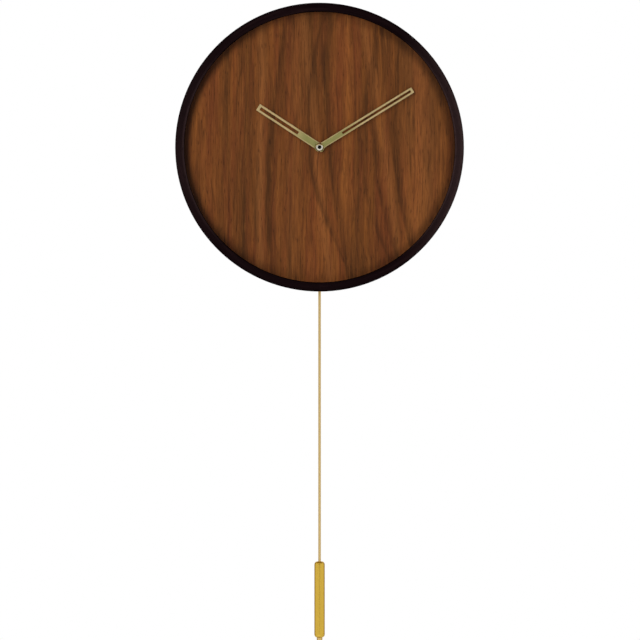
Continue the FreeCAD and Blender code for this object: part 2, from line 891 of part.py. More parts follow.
def add_ears(body):
    """The four ears that are screwed to the dial board."""
    for x, y in movement_screw_places():
        toward_middle = "+" if x.startswith("-") else "-"
        middle = f"{x} {toward_middle} housing_wall / 2"
        half_length = "(ear_length + housing_wall) / 2"
        bottom, top = f"{y} - ear_height / 2", f"{y} + ear_height / 2"
        ear = (f"{middle} - {half_length}", bottom, f"{middle} + {half_length}", top)
        block(body, ear, "board_back - ear_thickness", "board_back")
    bores(body, movement_screw_places(), "screw_hole_radius", "housing_floor - ear_thickness", "board_back")


def add_axes(body):
    """The hand bush, and the boss or post that each wheel turns on."""
    studs(body, AXIS, "bush_radius", "floor_middle", "bush_front")
    bores(body, AXIS, "bush_bore_radius", "housing_floor - overrun", "bush_front")
    for x, y, layer in TRAIN_AXES.values():
        end = boss_end(layer)
        studs(body, [(x, y)], "boss_radius", end, "floor_middle")
        bores(body, [(x, y)], "train_arbor_radius + running_gap", f"{end} - overrun", f"{end} + pivot_depth")
    post_end = "housing_floor - intermediate_wheel_layer - wheel_thickness - running_gap"
    studs(body, [("intermediate_x", "intermediate_y")], "post_radius", post_end, "floor_middle")
    knob_place = [("knob_x", "knob_y")]
    knob_end = boss_end("intermediate_wheel_layer")
    studs(body, knob_place, "knob_shaft_radius", knob_end, "floor_middle")
    bores(body, knob_place, "arbor_pivot_radius + running_gap", f"{knob_end} - overrun", "housing_floor")


def add_posts(body):
    """The pillars of the bridge, and the posts of the stator, circuit, cover, pendulum pin and coil."""
    studs(body, pillar_places(), "pillar_radius", "bridge_front", "floor_middle")
    studs(body, pillar_places(), "pillar_peg_radius", "bridge_back", "housing_floor")
    studs(body, stator_post_places(), "stator_post_radius", "stator_front", "floor_middle")
    studs(body, circuit_post_places(), "circuit_post_radius", "circuit_front", "floor_middle")
    studs(body, circuit_post_places(), "circuit_peg_radius", "circuit_back - circuit_peg_radius", "housing_floor")
    studs(body, cover_screw_places(), "cover_post_radius", "cover_front", "floor_middle")
    pilot_radius = "cover_screw_radius + thread_gap"
    bores(body, cover_screw_places(), pilot_radius, "cover_back", "cover_back + cover_screw_length")
    pin_place = [("0", "pivot_rise")]
    studs(body, pin_place, "pivot_boss_radius", "cover_front", "floor_middle")
    bores(body, pin_place, "pivot_hole_radius", "cover_back", "cover_front + pivot_pin_bite")
    coil_place = [("0", "coil_rise")]
    studs(body, coil_place, "drive_post_radius", "drive_bobbin_front", "floor_middle")
    studs(body, coil_place, "drive_peg_radius", "drive_bobbin_back", "housing_floor")


def make_movement_cover():
    """The housing's back: a flat plate open over the battery, with the knob's hole and the pin's boss."""
    body = new_body("movement_cover")
    outside = ("-movement_half_width", "-movement_below", "movement_half_width", "movement_above")
    block(body, outside, "cover_back", "cover_front")
    pin_place = [("0", "pivot_rise")]
    boss_back = "cover_back - lever_standoff"
    studs(body, pin_place, "pivot_boss_radius", boss_back, "cover_front")
    through = ("cover_back - overrun", "cover_front")
    window(body, ("-contact_inner", "housing_bottom", "contact_inner", "bay_top"), *through)
    bores(body, [("knob_x", "knob_y")], "knob_shaft_radius + running_gap", *through)
    bores(body, cover_screw_places(), "cover_screw_radius + thread_gap", *through)
    bores(body, pin_place, "pivot_hole_radius", f"{boss_back} - overrun", "cover_front")
    place(body)


def make_cover_screws():
    """The four small screws of the movement's cover."""
    head = ("cover_screw_head_radius", "cover_screw_head_height", "cover_screw_head_round")
    master = screw_master("small_screw", "cover_screw_radius", *head, "cover_screw_length", "cover_screw_tip")
    group_of("cover_screws", master, cover_screw_places(), "cover_back")


def make_train_bridge():
    """The plate behind the wheels, with a hole for each rear pivot."""
    body = new_body("train_bridge")
    edges = ("-bridge_left", "-bridge_below", "bridge_right", "bridge_above")
    block(body, edges, "bridge_back", "bridge_front")
    through = ("bridge_back - overrun", "bridge_front")
    bores(body, AXIS, "arbor_pivot_radius + running_gap", *through)
    train_places = [(x, y) for x, y, _ in TRAIN_AXES.values()]
    bores(body, train_places, "train_arbor_radius + running_gap", *through)
    bores(body, pillar_places(), "pillar_peg_radius + running_gap", *through)
    place(body)


# Wheels


def add_teeth(body, module, teeth, form, phase, span, bore=None):
    """A toothed disc about Z: a plain disc up to the tooth roots, its bore, and one tooth repeated round it."""
    back, front = span
    root_radius = f"{module} * ({teeth} / 2 - {form}_root_share)"
    studs(body, AXIS, root_radius, back, front)
    if bore:
        bores(body, AXIS, bore, back, front)
    flank = [
        (f"{root_radius} - {module} / 2", f"{form}_root_width_share"),
        (root_radius, f"{form}_root_width_share"),
        (f"{module} * {teeth} / 2", f"{form}_pitch_width_share"),
        (f"{module} * ({teeth} / 2 + {form}_tip_share)", f"{form}_tip_width_share"),
    ]
    right = [(radius, f"-{share} * {module} * pi") for radius, share in flank]
    left = [(radius, f"{share} * {module} * pi") for radius, share in reversed(flank)]
    tooth = new_sketch(body, back, turn=phase)
    draw_outline(tooth, right + left)
    repeat_round(body, pad(body, tooth, f"({front}) - ({back})"), teeth)


def meshing_phase(leader_phase, leader_teeth, follower_teeth, line_angle):
    """The angle of a follower's first tooth, when one of its gaps faces the leader's tooth between them."""
    facing_gap = f"{line_angle} + 180 + 180 / {follower_teeth}"
    return f"({facing_gap} - (({leader_phase}) - ({line_angle})) * {leader_teeth} / {follower_teeth})"


def wheel_span(layer):
    """The back and front of a wheel that starts at a layer behind the floor."""
    return f"housing_floor - {layer} - wheel_thickness", f"housing_floor - {layer}"


def pinion_span(layer):
    """The back and front of a pinion, a little longer than the wheel it meshes with."""
    back, front = wheel_span(layer)
    return f"{back} - pinion_overlap", f"{front} + pinion_overlap"


INTERMEDIATE_PHASE = meshing_phase("0", "cannon_teeth", "intermediate_teeth", "motion_line_angle")


def make_hour_wheel():
    """The hour wheel with the long tube that carries the hour hand."""
    body = new_body("hour_wheel")
    span = wheel_span("hour_wheel_layer")
    studs(body, AXIS, "hour_tube_radius", span[0], "hour_tube_front")
    bores(body, AXIS, "hour_bore_radius", f"{span[0]} - overrun", "hour_tube_front")
    phase = meshing_phase("0", "hour_pinion_teeth", "hour_teeth", "(motion_line_angle + 180)")
    add_teeth(body, "hour_module", "hour_teeth", "wheel", phase, span, "hour_bore_radius")
    place(body)


def make_intermediate_wheel():
    """The wheel and pinion that bring the minute arbor's turns down to the hour wheel's."""
    body = new_body("intermediate_wheel")
    span = wheel_span("intermediate_wheel_layer")
    pinion_front = "housing_floor - hour_wheel_layer + pinion_overlap / 2"
    bore = "post_radius + running_gap"
    add_teeth(body, "hour_module", "hour_pinion_teeth", "pinion", "0", (span[1], pinion_front), bore)
    add_teeth(body, "motion_module", "intermediate_teeth", "wheel", INTERMEDIATE_PHASE, span, bore)
    place(body, "intermediate_x", "intermediate_y")


def make_minute_arbor():
    """The arbor that carries the minute hand, with its cannon pinion, shoulder, rear pivot and thread."""
    body = new_body("minute_arbor")
    cannon_span = pinion_span("intermediate_wheel_layer")
    studs(body, AXIS, "minute_arbor_radius", "clutch_back", "minute_arbor_front")
    studs(body, AXIS, "minute_thread_radius", "dial_face", "minute_arbor_front + minute_thread_length")
    studs(body, AXIS, "arbor_rear_radius", "bridge_front + clutch_gap", "centre_front")
    studs(body, AXIS, "arbor_pivot_radius", "bridge_back", "centre_front")
    studs(body, AXIS, "arbor_shoulder_radius", "centre_front + clutch_gap", cannon_span[1])
    add_teeth(body, "motion_module", "cannon_teeth", "pinion", "0", cannon_span)
    place(body)


def make_clutch_spring():
    """The spring washer that lets the hands be set while the train stands."""
    body = new_body("clutch_spring")
    studs(body, AXIS, "arbor_shoulder_radius", "clutch_back", "clutch_front")
    leg = ("0", "-clutch_leg_width / 2", "clutch_leg_reach", "clutch_leg_width / 2")
    repeat_round(body, block(body, leg, "clutch_back", "clutch_front"), "clutch_leg_count")
    bores(body, AXIS, "minute_arbor_radius + fitting_gap", "clutch_back - overrun", "clutch_front")
    place(body)


def make_setting_pinion():
    """The pinion that turns the hands by hand, with the shaft that carries the knob."""
    body = new_body("setting_pinion")
    span = pinion_span("intermediate_wheel_layer")
    studs(body, AXIS, "knob_shaft_radius", "cover_back - knob_clearance - knob_socket_depth", span[1])
    studs(body, AXIS, "arbor_pivot_radius", "cover_back", "housing_floor - pivot_depth / 2")
    phase = meshing_phase(INTERMEDIATE_PHASE, "intermediate_teeth", "setting_teeth", "setting_line_angle")
    add_teeth(body, "motion_module", "setting_teeth", "pinion", phase, span)
    place(body, "knob_x", "knob_y")


def make_setting_knob():
    """The grooved knob pushed on the setting pinion's shaft."""
    body = new_body("setting_knob")
    front = "cover_back - knob_clearance"
    studs(body, AXIS, "knob_radius", f"{front} - knob_height", front)
    bores(body, AXIS, "knob_shaft_radius + fitting_gap", f"{front} - knob_socket_depth", front)
    groove_span = (f"{front} - knob_height - overrun", front)
    groove = bores(body, [("knob_radius", "0")], "knob_groove_radius", *groove_span)
    repeat_round(body, groove, "knob_groove_count")
    place(body, "knob_x", "knob_y")


def make_centre_wheel():
    """The wheel that drives the minute arbor through the clutch spring."""
    body = new_body("centre_wheel")
    span = wheel_span("centre_wheel_layer")
    add_teeth(body, "centre_module", "centre_teeth", "wheel", "0", span, "hour_bore_radius")
    place(body)


def make_train_wheel(name, wheel, pinion, phase):
    """A wheel of the going train, with its pinion in front and its thin arbor."""
    body = new_body(name + "_wheel")
    wheel_module, wheel_layer = wheel
    pinion_module, pinion_layer = pinion
    x, y, layer = TRAIN_AXES[name]
    studs(body, AXIS, "train_arbor_radius", "bridge_back", f"{boss_end(layer)} + pivot_depth / 2")
    add_teeth(body, pinion_module, name + "_pinion_teeth", "pinion", phase, pinion_span(pinion_layer))
    add_teeth(body, wheel_module, name + "_teeth", "wheel", "0", wheel_span(wheel_layer))
    place(body, x, y)


def make_going_train():
    """The three wheels between the rotor and the centre wheel."""
    make_train_wheel(
        "third", ("train_module", "third_wheel_layer"), ("centre_module", "centre_wheel_layer"),
        meshing_phase("0", "centre_teeth", "third_pinion_teeth", "third_line_angle"),
    )
    make_train_wheel(
        "second", ("train_module", "second_wheel_layer"), ("train_module", "third_wheel_layer"),
        meshing_phase("0", "third_teeth", "second_pinion_teeth", "second_line_angle"),
    )
    make_train_wheel(
        "step", ("step_module", "step_wheel_layer"), ("train_module", "second_wheel_layer"),
        meshing_phase("0", "second_teeth", "step_pinion_teeth", "step_line_angle"),
    )


# Stepping motor


def make_rotor():
    """The rotor: a round magnet and a pinion on one arbor."""
    pinion = new_body("rotor_pinion")
    x, y, layer = TRAIN_AXES["rotor"]
    studs(pinion, AXIS, "train_arbor_radius", "bridge_back", f"{boss_end(layer)} + pivot_depth / 2")
    phase = meshing_phase("0", "step_teeth", "rotor_teeth", "rotor_line_angle")
    add_teeth(pinion, "step_module", "rotor_teeth", "pinion", phase, pinion_span("step_wheel_layer"))
    place(pinion, x, y)
    magnet = new_body("rotor_magnet")
    magnet_back = "magnet_front - magnet_thickness"
    studs(magnet, AXIS, "magnet_radius", magnet_back, "magnet_front")
    bores(magnet, AXIS, "train_arbor_radius + fitting_gap", f"{magnet_back} - overrun", "magnet_front")
    place(magnet, x, y)


def make_stator():
    """The flat U-shaped stator with a ring round the rotor."""
    body = new_body("stator")
    bottom = "(rotor_y - stator_bar_width / 2)"
    crotch = f"{bottom} + stator_bar_width"
    inner_left, inner_right = "stator_left_x + stator_bar_width", "stator_right_x - stator_bar_width"
    arms = new_sketch(body, "stator_back")
    draw_outline(arms, [
        ("stator_left_x", bottom),
        ("stator_right_x", bottom),
        ("stator_right_x", "stator_top"),
        (inner_right, "stator_top"),
        (inner_right, crotch),
        (inner_left, crotch),
        (inner_left, "stator_top"),
        ("stator_left_x", "stator_top"),
    ])
    pad(body, arms, "stator_thickness")
    rotor_place = [("rotor_x", "rotor_y")]
    hole_radius = "magnet_radius + stator_gap"
    studs(body, rotor_place, f"{hole_radius} + stator_ring_width", "stator_back", "stator_front")
    bores(body, rotor_place, hole_radius, "stator_back - overrun", "stator_front")
    place(body)


def make_coil_core():
    """The soft iron strip that joins the stator's arms through the coil."""
    body = new_body("coil_core")
    bottom, top = "core_rise - core_width / 2", "core_rise + core_width / 2"
    core_back = "stator_back - core_thickness"
    block(body, ("stator_left_x", bottom, "stator_right_x", top), core_back, "stator_back")
    place(body)


ALONG_X = Vector(0, 1, 0)


def spool(body, bore, hub, rim, flange, length):
    """A bobbin about Z: a tube with a flange at each end."""
    turned(body, [
        (bore, "0"),
        (rim, "0"),
        (rim, flange),
        (hub, flange),
        (hub, f"{length} - {flange}"),
        (rim, f"{length} - {flange}"),
        (rim, length),
        (bore, length),
    ])


def wound(body, hub, rim, flange, length):
    """A winding about Z that fills a bobbin."""
    low, high = f"{flange} + winding_gap", f"{length} - {flange} - winding_gap"
    inner = f"{hub} + winding_gap"
    turned(body, [(inner, low), (rim, low), (rim, high), (inner, high)])


def make_motor_coil():
    """The stepping motor's bobbin and its winding, round the core."""
    hub = "bobbin_bore_radius + bobbin_wall"
    where = ("bobbin_start", "core_rise", "core_station")
    bobbin = new_body("coil_bobbin")
    spool(bobbin, "bobbin_bore_radius", hub, "bobbin_flange_radius", "bobbin_flange_thickness", "bobbin_length")
    place(bobbin, *where, axis=ALONG_X)
    winding = new_body("coil_winding")
    wound(winding, hub, "winding_radius", "bobbin_flange_thickness", "bobbin_length")
    place(winding, *where, axis=ALONG_X)


# Circuit and battery


def make_circuit():
    """The circuit board on its two posts, with the chip under its resin drop and the quartz in its can."""
    board = new_body("circuit_board")
    edges = ("-circuit_width / 2", "circuit_below", "circuit_width / 2", "circuit_above")
    block(board, edges, "circuit_back", "circuit_front")
    peg_hole = "circuit_peg_radius + running_gap"
    bores(board, circuit_post_places(), peg_hole, "circuit_back - overrun", "circuit_front")
    place(board)
    chip = new_body("circuit_chip")
    drop = studs(chip, AXIS, "chip_radius", "-chip_height", "0")
    fillet(chip, rings_at(drop, "chip_radius", "-chip_height"), "chip_round")
    place(chip, "-chip_aside", "circuit_rise", "circuit_back")
    can = new_body("quartz_can")
    studs(can, AXIS, "can_radius", "0", "can_length")
    place(can, "can_start", "circuit_rise", "circuit_back - can_radius", axis=ALONG_X)


def make_battery():
    """One AA cell, its nub to the right."""
    body = new_body("battery")
    studs(body, AXIS, "battery_radius", "0", "battery_length - battery_nub_length")
    studs(body, AXIS, "battery_nub_radius", "battery_length / 2", "battery_length")
    place(body, "-battery_length / 2", "battery_rise", "battery_station", axis=ALONG_X)


def make_contact(label, sign):
    """A spring strip from one end of the battery up to the circuit board."""
    body = new_body(label)
    back = "circuit_back - contact_thickness"
    tab_top, tab_bottom = "circuit_rise + contact_tab / 2", "circuit_rise - contact_tab / 2"
    strip = (f"{sign}contact_inner", "-contact_drop", f"{sign}contact_outer", tab_top)
    block(body, strip, back, f"{back} + contact_width")
    tab_end = f"{sign}(circuit_post_aside + circuit_post_radius)"
    block(body, (f"{sign}contact_outer", tab_bottom, tab_end, tab_top), back, "circuit_back")
    place(body)


# Pendulum drive


def make_drive_coil():
    """The bobbin and winding that push the pendulum's magnet."""
    hub = "drive_peg_radius + drive_bobbin_wall"
    where = ("0", "coil_rise", "drive_bobbin_back")
    bobbin = new_body("drive_coil_bobbin")
    bore = "drive_peg_radius + running_gap"
    spool(bobbin, bore, hub, "drive_bobbin_radius", "drive_flange_thickness", "drive_bobbin_length")
    place(bobbin, *where)
    winding = new_body("drive_coil_winding")
    wound(winding, hub, "drive_winding_radius", "drive_flange_thickness", "drive_bobbin_length")
    place(winding, *where)


def make_pivot_pin():
    """The steel pin that carries the pendulum, with a groove for its clip."""
    body = new_body("pivot_pin")
    turned(body, [
        ("0", "clip_back - pin_end"),
        ("pivot_pin_radius", "clip_back - pin_end"),
        ("pivot_pin_radius", "clip_back"),
        ("pivot_groove_radius", "clip_back"),
        ("pivot_groove_radius", "clip_front"),
        ("pivot_pin_radius", "clip_front"),
        ("pivot_pin_radius", "cover_front + pivot_pin_bite"),
        ("0", "cover_front + pivot_pin_bite"),
    ])
    place(body, "0", "pivot_rise")


def make_pivot_clip():
    """The open clip in the pin's groove."""
    body = new_body("pivot_clip")
    studs(body, AXIS, "clip_radius", "clip_back", "clip_front")
    bores(body, AXIS, "pivot_groove_radius + fitting_gap", "clip_back - overrun", "clip_front")
    mouth = ("-clip_opening / 2", "-clip_radius - overrun", "clip_opening / 2", "0")
    window(body, mouth, "clip_back - overrun", "clip_front")
    place(body, "0", "pivot_rise")


# Pendulum


def make_pendulum_lever():
    """The flat arm that hangs on the pin: eye, magnet disc, and a headed peg for the rod's strip."""
    body = new_body("pendulum_lever")
    arm = ("-lever_width / 2", "-lever_bottom_drop", "lever_width / 2", "pivot_rise")
    block(body, arm, "lever_back", "lever_front")
    eye_place, disc_place, peg_place = [("0", "pivot_rise")], [("0", "coil_rise")], [("0", "-hook_drop")]
    studs(body, eye_place, "lever_eye_radius", "lever_back", "lever_front")
    studs(body, disc_place, "lever_disc_radius", "lever_back", "lever_front")
    peg_end = "lever_back - hook_peg_length"
    studs(body, peg_place, "hook_peg_radius", peg_end, "lever_front")
    studs(body, peg_place, "hook_head_radius", f"{peg_end} - hook_head_thickness", peg_end)
    bores(body, eye_place, "pivot_pin_radius + running_gap", "lever_back - overrun", "lever_front")
    recess_floor = "lever_front - pendulum_magnet_thickness"
    bores(body, disc_place, "pendulum_magnet_radius + fitting_gap", recess_floor, "lever_front")
    place(body)


def make_pendulum_magnet():
    """The round magnet glued in the lever's disc."""
    body = new_body("pendulum_magnet")
    studs(body, AXIS, "pendulum_magnet_radius", "lever_front - pendulum_magnet_thickness", "lever_front")
    place(body, "0", "coil_rise")


def make_rod_hanger():
    """The brass strip that hangs on the peg by a keyhole, with a sleeve at its foot for the rod."""
    body = new_body("rod_hanger")
    flat = new_sketch(body, "lever_back - strip_thickness")
    taper_start = "strip_taper - strip_foot_drop"
    draw_outline(flat, [
        ("-lever_width / 2", "-strip_top_drop"),
        ("-lever_width / 2", taper_start),
        ("-strip_foot_width / 2", "-strip_foot_drop"),
        ("strip_foot_width / 2", "-strip_foot_drop"),
        ("lever_width / 2", taper_start),
        ("lever_width / 2", "-strip_top_drop"),
    ])
    pad(body, flat, "strip_thickness")
    through = ("lever_back - strip_thickness - overrun", "lever_back")
    slot_radius = "(hook_peg_radius + hook_clearance)"
    slot_top, slot_foot = "-hook_drop - hook_clearance", "-hook_drop - hook_fall"
    bores(body, [("0", slot_top)], slot_radius, *through)
    window(body, (f"-{slot_radius}", slot_foot, slot_radius, slot_top), *through)
    bores(body, [("0", slot_foot)], "hook_head_radius + hook_clearance", *through)
    add_sleeve(body)
    place(body)


def add_sleeve(body):
    """The round sleeve on the strip's foot, bored from below."""
    bore = "rod_radius + fitting_gap"
    sleeve = new_sketch(body, "rod_station")
    draw_outline(sleeve, [
        ("0", "-sleeve_top_drop"),
        ("sleeve_radius", "-sleeve_top_drop"),
        ("sleeve_radius", "-sleeve_bottom_drop"),
        (bore, "-sleeve_bottom_drop"),
        (bore, "-rod_top_drop"),
        ("0", "-rod_top_drop"),
    ])
    feature = body.newObject("PartDesign::Revolution", "rod_hanger_sleeve")
    feature.Profile = sleeve
    feature.ReferenceAxis = (sleeve, ["V_Axis"])
    feature.Angle = 360
    doc.recompute()


def make_pendulum_rod():
    """The long brass rod, from its sleeve down through the bob and the nut."""
    body = new_body("pendulum_rod")
    studs(body, AXIS, "rod_radius", "-rod_bottom_drop", "-rod_top_drop")
    hang(body)


def make_pendulum_bob():
    """The slim brass cylinder with round ends, bored for the rod."""
    body = new_body("pendulum_bob")
    bar = studs(body, AXIS, "bob_radius", "-bob_bottom_drop", "-bob_top_drop")
    rims = rings_at(bar, "bob_radius", "-bob_bottom_drop") + rings_at(bar, "bob_radius", "-bob_top_drop")
    fillet(body, rims, "bob_round")
    bores(body, AXIS, "rod_radius + running_gap", "-bob_bottom_drop - overrun", "-bob_top_drop")
    hang(body)


def make_rating_nut():
    """The small nut under the bob that sets its height."""
    body = new_body("rating_nut")
    nut = studs(body, AXIS, "rating_nut_radius", "-rating_nut_bottom_drop", "-bob_bottom_drop")
    chamfer(body, rings_at(nut, "rating_nut_radius", "-rating_nut_bottom_drop"), "rating_nut_chamfer")
    bores(body, AXIS, "rod_radius + fitting_gap", "-rating_nut_bottom_drop - overrun", "-bob_bottom_drop")
    hang(body)


# Hands


def make_hand(name, tube_radius):
    """A flat slotted hand with a short round-cornered tail, turned clockwise from twelve."""
    body = new_body(name + "_hand")
    reach, half_width = f"{name}_hand_reach", f"({name}_hand_width / 2)"
    turn = f"-{name}_hand_angle"
    blade = new_sketch(body, turn=turn)
    draw_rectangle(blade, f"-{half_width}", "-hand_tail", half_width, reach)
    blank = pad(body, blade, "hand_thickness")
    tail_rounded = fillet(body, upright_edges(blank, "0", "2 * hand_tail"), "hand_tail_round")
    fillet(body, upright_edges(tail_rounded, "2 * hand_tail", "2 * minute_hand_reach"), "hand_corner_round")
    slot = new_sketch(body, "hand_thickness", turn=turn)
    slot_side = f"({half_width} - {name}_rail_width)"
    draw_rectangle(slot, f"-{slot_side}", f"{name}_slot_start", slot_side, f"{name}_slot_end")
    pocket(body, slot, "hand_thickness + overrun")
    eye_radius = f"{tube_radius} + collet_lip_width + 2 * fitting_gap"
    bores(body, AXIS, eye_radius, "-overrun", "hand_thickness")
    place(body, station=f"dial_face + {name}_hand_stand")


def make_collet(name, tube_radius):
    """The brass eyelet that joins a hand to its tube: a flange behind and a thin lip in front."""
    body = new_body(name + "_hand_collet")
    studs(body, AXIS, "collet_flange_radius", "-collet_flange_height", "0")
    lip_front = "hand_thickness + collet_lip_height"
    studs(body, AXIS, f"{tube_radius} + collet_lip_width", "-collet_flange_height", lip_front)
    bores(body, AXIS, f"{tube_radius} + fitting_gap", "-collet_flange_height - overrun", lip_front)
    place(body, station=f"dial_face + {name}_hand_stand")


def make_cap_nut():
    """The polished dome nut on the end of the minute arbor."""
    body = new_body("cap_nut")
    front = "minute_arbor_front + cap_height"
    blank = studs(body, AXIS, "cap_radius", "minute_arbor_front", front)
    fillet(body, rings_at(blank, "cap_radius", front), "cap_round")
    thread_end = "minute_arbor_front + minute_thread_length"
    bores(body, AXIS, "minute_thread_radius + fitting_gap", "minute_arbor_front - overrun", thread_end)
    place(body)


make_case_ring()
make_dial_seat_ring()
make_dial_board()
make_dial_veneer()
make_wood_screws()
make_hanger_block()
make_hanger_plate()
make_hanger_screws()
make_wall_bumpers()
make_movement_case()
make_movement_cover()
make_cover_screws()
make_train_bridge()
make_hour_wheel()
make_intermediate_wheel()
make_minute_arbor()
make_clutch_spring()
make_setting_pinion()
make_setting_knob()
make_centre_wheel()
make_going_train()
make_rotor()
make_stator()
make_coil_core()
make_motor_coil()
make_circuit()
make_battery()
make_contact("contact_positive", "")
make_contact("contact_negative", "-")
make_drive_coil()
make_pivot_pin()
make_pivot_clip()
make_pendulum_lever()
make_pendulum_magnet()
make_rod_hanger()
make_pendulum_rod()
make_pendulum_bob()
make_rating_nut()
make_hand("hour", "hour_tube_radius")
make_hand("minute", "minute_arbor_radius")
make_collet("hour", "hour_tube_radius")
make_collet("minute", "minute_arbor_radius")
make_cap_nut()

doc.recompute()

# Every object has to be sound, and every piece a valid solid, before a file is written.
for item in doc.Objects:
    if {"Invalid", "Error"} & set(item.State):
        raise RuntimeError(f"{item.Label} did not compute: {item.State}")
for piece in pieces:
    if piece.Shape.isNull() or not piece.Shape.isValid() or not piece.Shape.Solids:
        raise RuntimeError(f"{piece.Label} is not a valid solid")

os.makedirs("parts", exist_ok=True)
for piece in pieces:
    piece.Shape.exportStep(f"parts/{piece.Label}.step")
    print(piece.Label, len(piece.Shape.Solids), round(piece.Shape.Volume, 2))
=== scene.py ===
import math

import bmesh
import bpy
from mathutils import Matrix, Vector


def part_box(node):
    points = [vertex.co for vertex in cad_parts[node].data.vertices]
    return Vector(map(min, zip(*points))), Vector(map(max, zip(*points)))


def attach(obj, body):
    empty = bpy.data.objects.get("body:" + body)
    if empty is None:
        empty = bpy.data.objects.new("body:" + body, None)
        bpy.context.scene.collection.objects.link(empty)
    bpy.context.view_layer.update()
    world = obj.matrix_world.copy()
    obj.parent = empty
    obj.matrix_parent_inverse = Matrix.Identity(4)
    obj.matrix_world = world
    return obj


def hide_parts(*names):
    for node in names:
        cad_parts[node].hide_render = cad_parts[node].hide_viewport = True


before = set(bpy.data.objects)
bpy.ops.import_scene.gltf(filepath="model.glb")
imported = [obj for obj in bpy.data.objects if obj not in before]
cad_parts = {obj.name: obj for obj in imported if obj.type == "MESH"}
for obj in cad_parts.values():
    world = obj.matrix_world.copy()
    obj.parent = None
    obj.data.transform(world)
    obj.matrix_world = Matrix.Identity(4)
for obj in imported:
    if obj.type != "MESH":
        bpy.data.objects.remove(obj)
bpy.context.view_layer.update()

# The case is a ring of solid wood, turned, stained almost black and rubbed with satin lacquer. Its grain
# runs round the ring, and the stain lies darker in the pores. Its left and right sides, and most of all
# their edges, carry a painted highlight where the side light catches them.
MM = 0.001
HUB_HEIGHT = -130 * MM
RING_RADIUS = 165 * MM
RING_INSIDE = 155 * MM
# Widths of the painted highlight along the rim's outer and inner edges.
OUTER_HIGHLIGHT_WIDTH = 5 * MM
INNER_HIGHLIGHT_WIDTH = 3 * MM
INNER_HIGHLIGHT_FULL = 0.5 * MM
LACQUER_RELIEF = 0.02 * MM


def written(red, green, blue):
    """A screen colour from 0 to 255 as the linear colour that the shader takes."""
    shares = [value / 255 for value in (red, green, blue)]
    linear = [share / 12.92 if share < 0.04045 else ((share + 0.055) / 1.055) ** 2.4 for share in shares]
    return (*linear, 1.0)


def add_node(tree, kind, values=None, **settings):
    """Adds a node. values holds its sockets' numbers, colours or links, and settings its own options."""
    made = tree.nodes.new(kind)
    for key, value in settings.items():
        setattr(made, key, value)
    for socket, value in (values or {}).items():
        if isinstance(value, bpy.types.NodeSocket):
            tree.links.new(value, made.inputs[socket])
        else:
            made.inputs[socket].default_value = value
    return made


def new_material(name, metallic=0.0, roughness=0.5, coat=0.0, coat_roughness=0.1, shine=0.5):
    """A material with its even values set. Returns it with its node tree and its surface shader."""
    made = bpy.data.materials.new(name)
    made.use_nodes = True
    surface = made.node_tree.nodes["Principled BSDF"]
    surface.inputs["Metallic"].default_value = metallic
    surface.inputs["Roughness"].default_value = roughness
    surface.inputs["Coat Weight"].default_value = coat
    surface.inputs["Coat Roughness"].default_value = coat_roughness
    surface.inputs["Specular IOR Level"].default_value = shine
    return made, made.node_tree, surface


def place_on_object(tree):
    return add_node(tree, "ShaderNodeTexCoord").outputs["Object"]


def stretched(tree, vector, scale=(1, 1, 1), move=(0, 0, 0), turn=(0, 0, 0)):
    values = {"Vector": vector, "Location": move, "Rotation": turn, "Scale": scale}
    return add_node(tree, "ShaderNodeMapping", values).outputs[0]


def place_from_hub(tree):
    """Each point's place, measured from the hub, the axis that the ring, the dial and the hands share."""
    return stretched(tree, place_on_object(tree), move=(0, 0, -HUB_HEIGHT))


def distance_from_hub(tree, place):
    flat = stretched(tree, place, (1, 0, 1))
    return add_node(tree, "ShaderNodeVectorMath", {0: flat}, operation="LENGTH").outputs["Value"]


def split(tree, vector):
    """The three coordinates of a place or a direction."""
    return add_node(tree, "ShaderNodeSeparateXYZ", {0: vector}).outputs


def joined(tree, first, second, third):
    return add_node(tree, "ShaderNodeCombineXYZ", {0: first, 1: second, 2: third}).outputs[0]


def noise(tree, vector, scale, detail=2.0, roughness=0.5, distortion=0.0):
    values = {"Vector": vector, "Scale": scale, "Detail": detail}
    values.update({"Roughness": roughness, "Distortion": distortion})
    return add_node(tree, "ShaderNodeTexNoise", values).outputs[0]


def drawn_out(tree, place, fineness, detail=2.0, roughness=0.5, distortion=0.0, move=(0, 0, 0)):
    """Noise with its own fineness along each axis, in changes a metre."""
    return noise(tree, stretched(tree, place, fineness, move), 1.0, detail, roughness, distortion)


def calculate(tree, operation, first, second=0.0, third=0.0):
    return add_node(tree, "ShaderNodeMath", {0: first, 1: second, 2: third}, operation=operation).outputs[0]


def spread(tree, value, low_end, high_end, low_result=0.0, high_result=1.0):
    """Maps a value from one range to another, with no overshoot."""
    values = {0: value, 1: low_end, 2: high_end, 3: low_result, 4: high_result}
    return add_node(tree, "ShaderNodeMapRange", values, clamp=True).outputs[0]


def ramp(tree, value, stops):
    """A colour ramp. stops holds pairs of a place from 0 to 1 and a colour."""
    made = add_node(tree, "ShaderNodeValToRGB", {0: value})
    elements = made.color_ramp.elements
    while len(elements) < len(stops):
        elements.new(1.0)
    for element, (position, color) in zip(elements, stops):
        element.position = position
        element.color = color
    return made.outputs[0]


def blended(tree, share, first, second):
    """A share of the second colour in the first."""
    made = add_node(tree, "ShaderNodeMix", data_type="RGBA")
    for index, value in ((0, share), (6, first), (7, second)):
        if isinstance(value, bpy.types.NodeSocket):
            tree.links.new(value, made.inputs[index])
        else:
            made.inputs[index].default_value = value
    return made.outputs[2]


def coloured(tree, surface, color):
    tree.links.new(color, surface.inputs["Base Color"])


def roughened(tree, surface, value, smooth, rough):
    tree.links.new(spread(tree, value, 0.25, 0.75, smooth, rough), surface.inputs["Roughness"])


def bumped(tree, surface, height, depth):
    """Raises the surface by a height field. depth is the real height of its full range."""
    made = add_node(tree, "ShaderNodeBump", {"Height": height, "Distance": depth, "Strength": 1.0})
    tree.links.new(made.outputs[0], surface.inputs["Normal"])


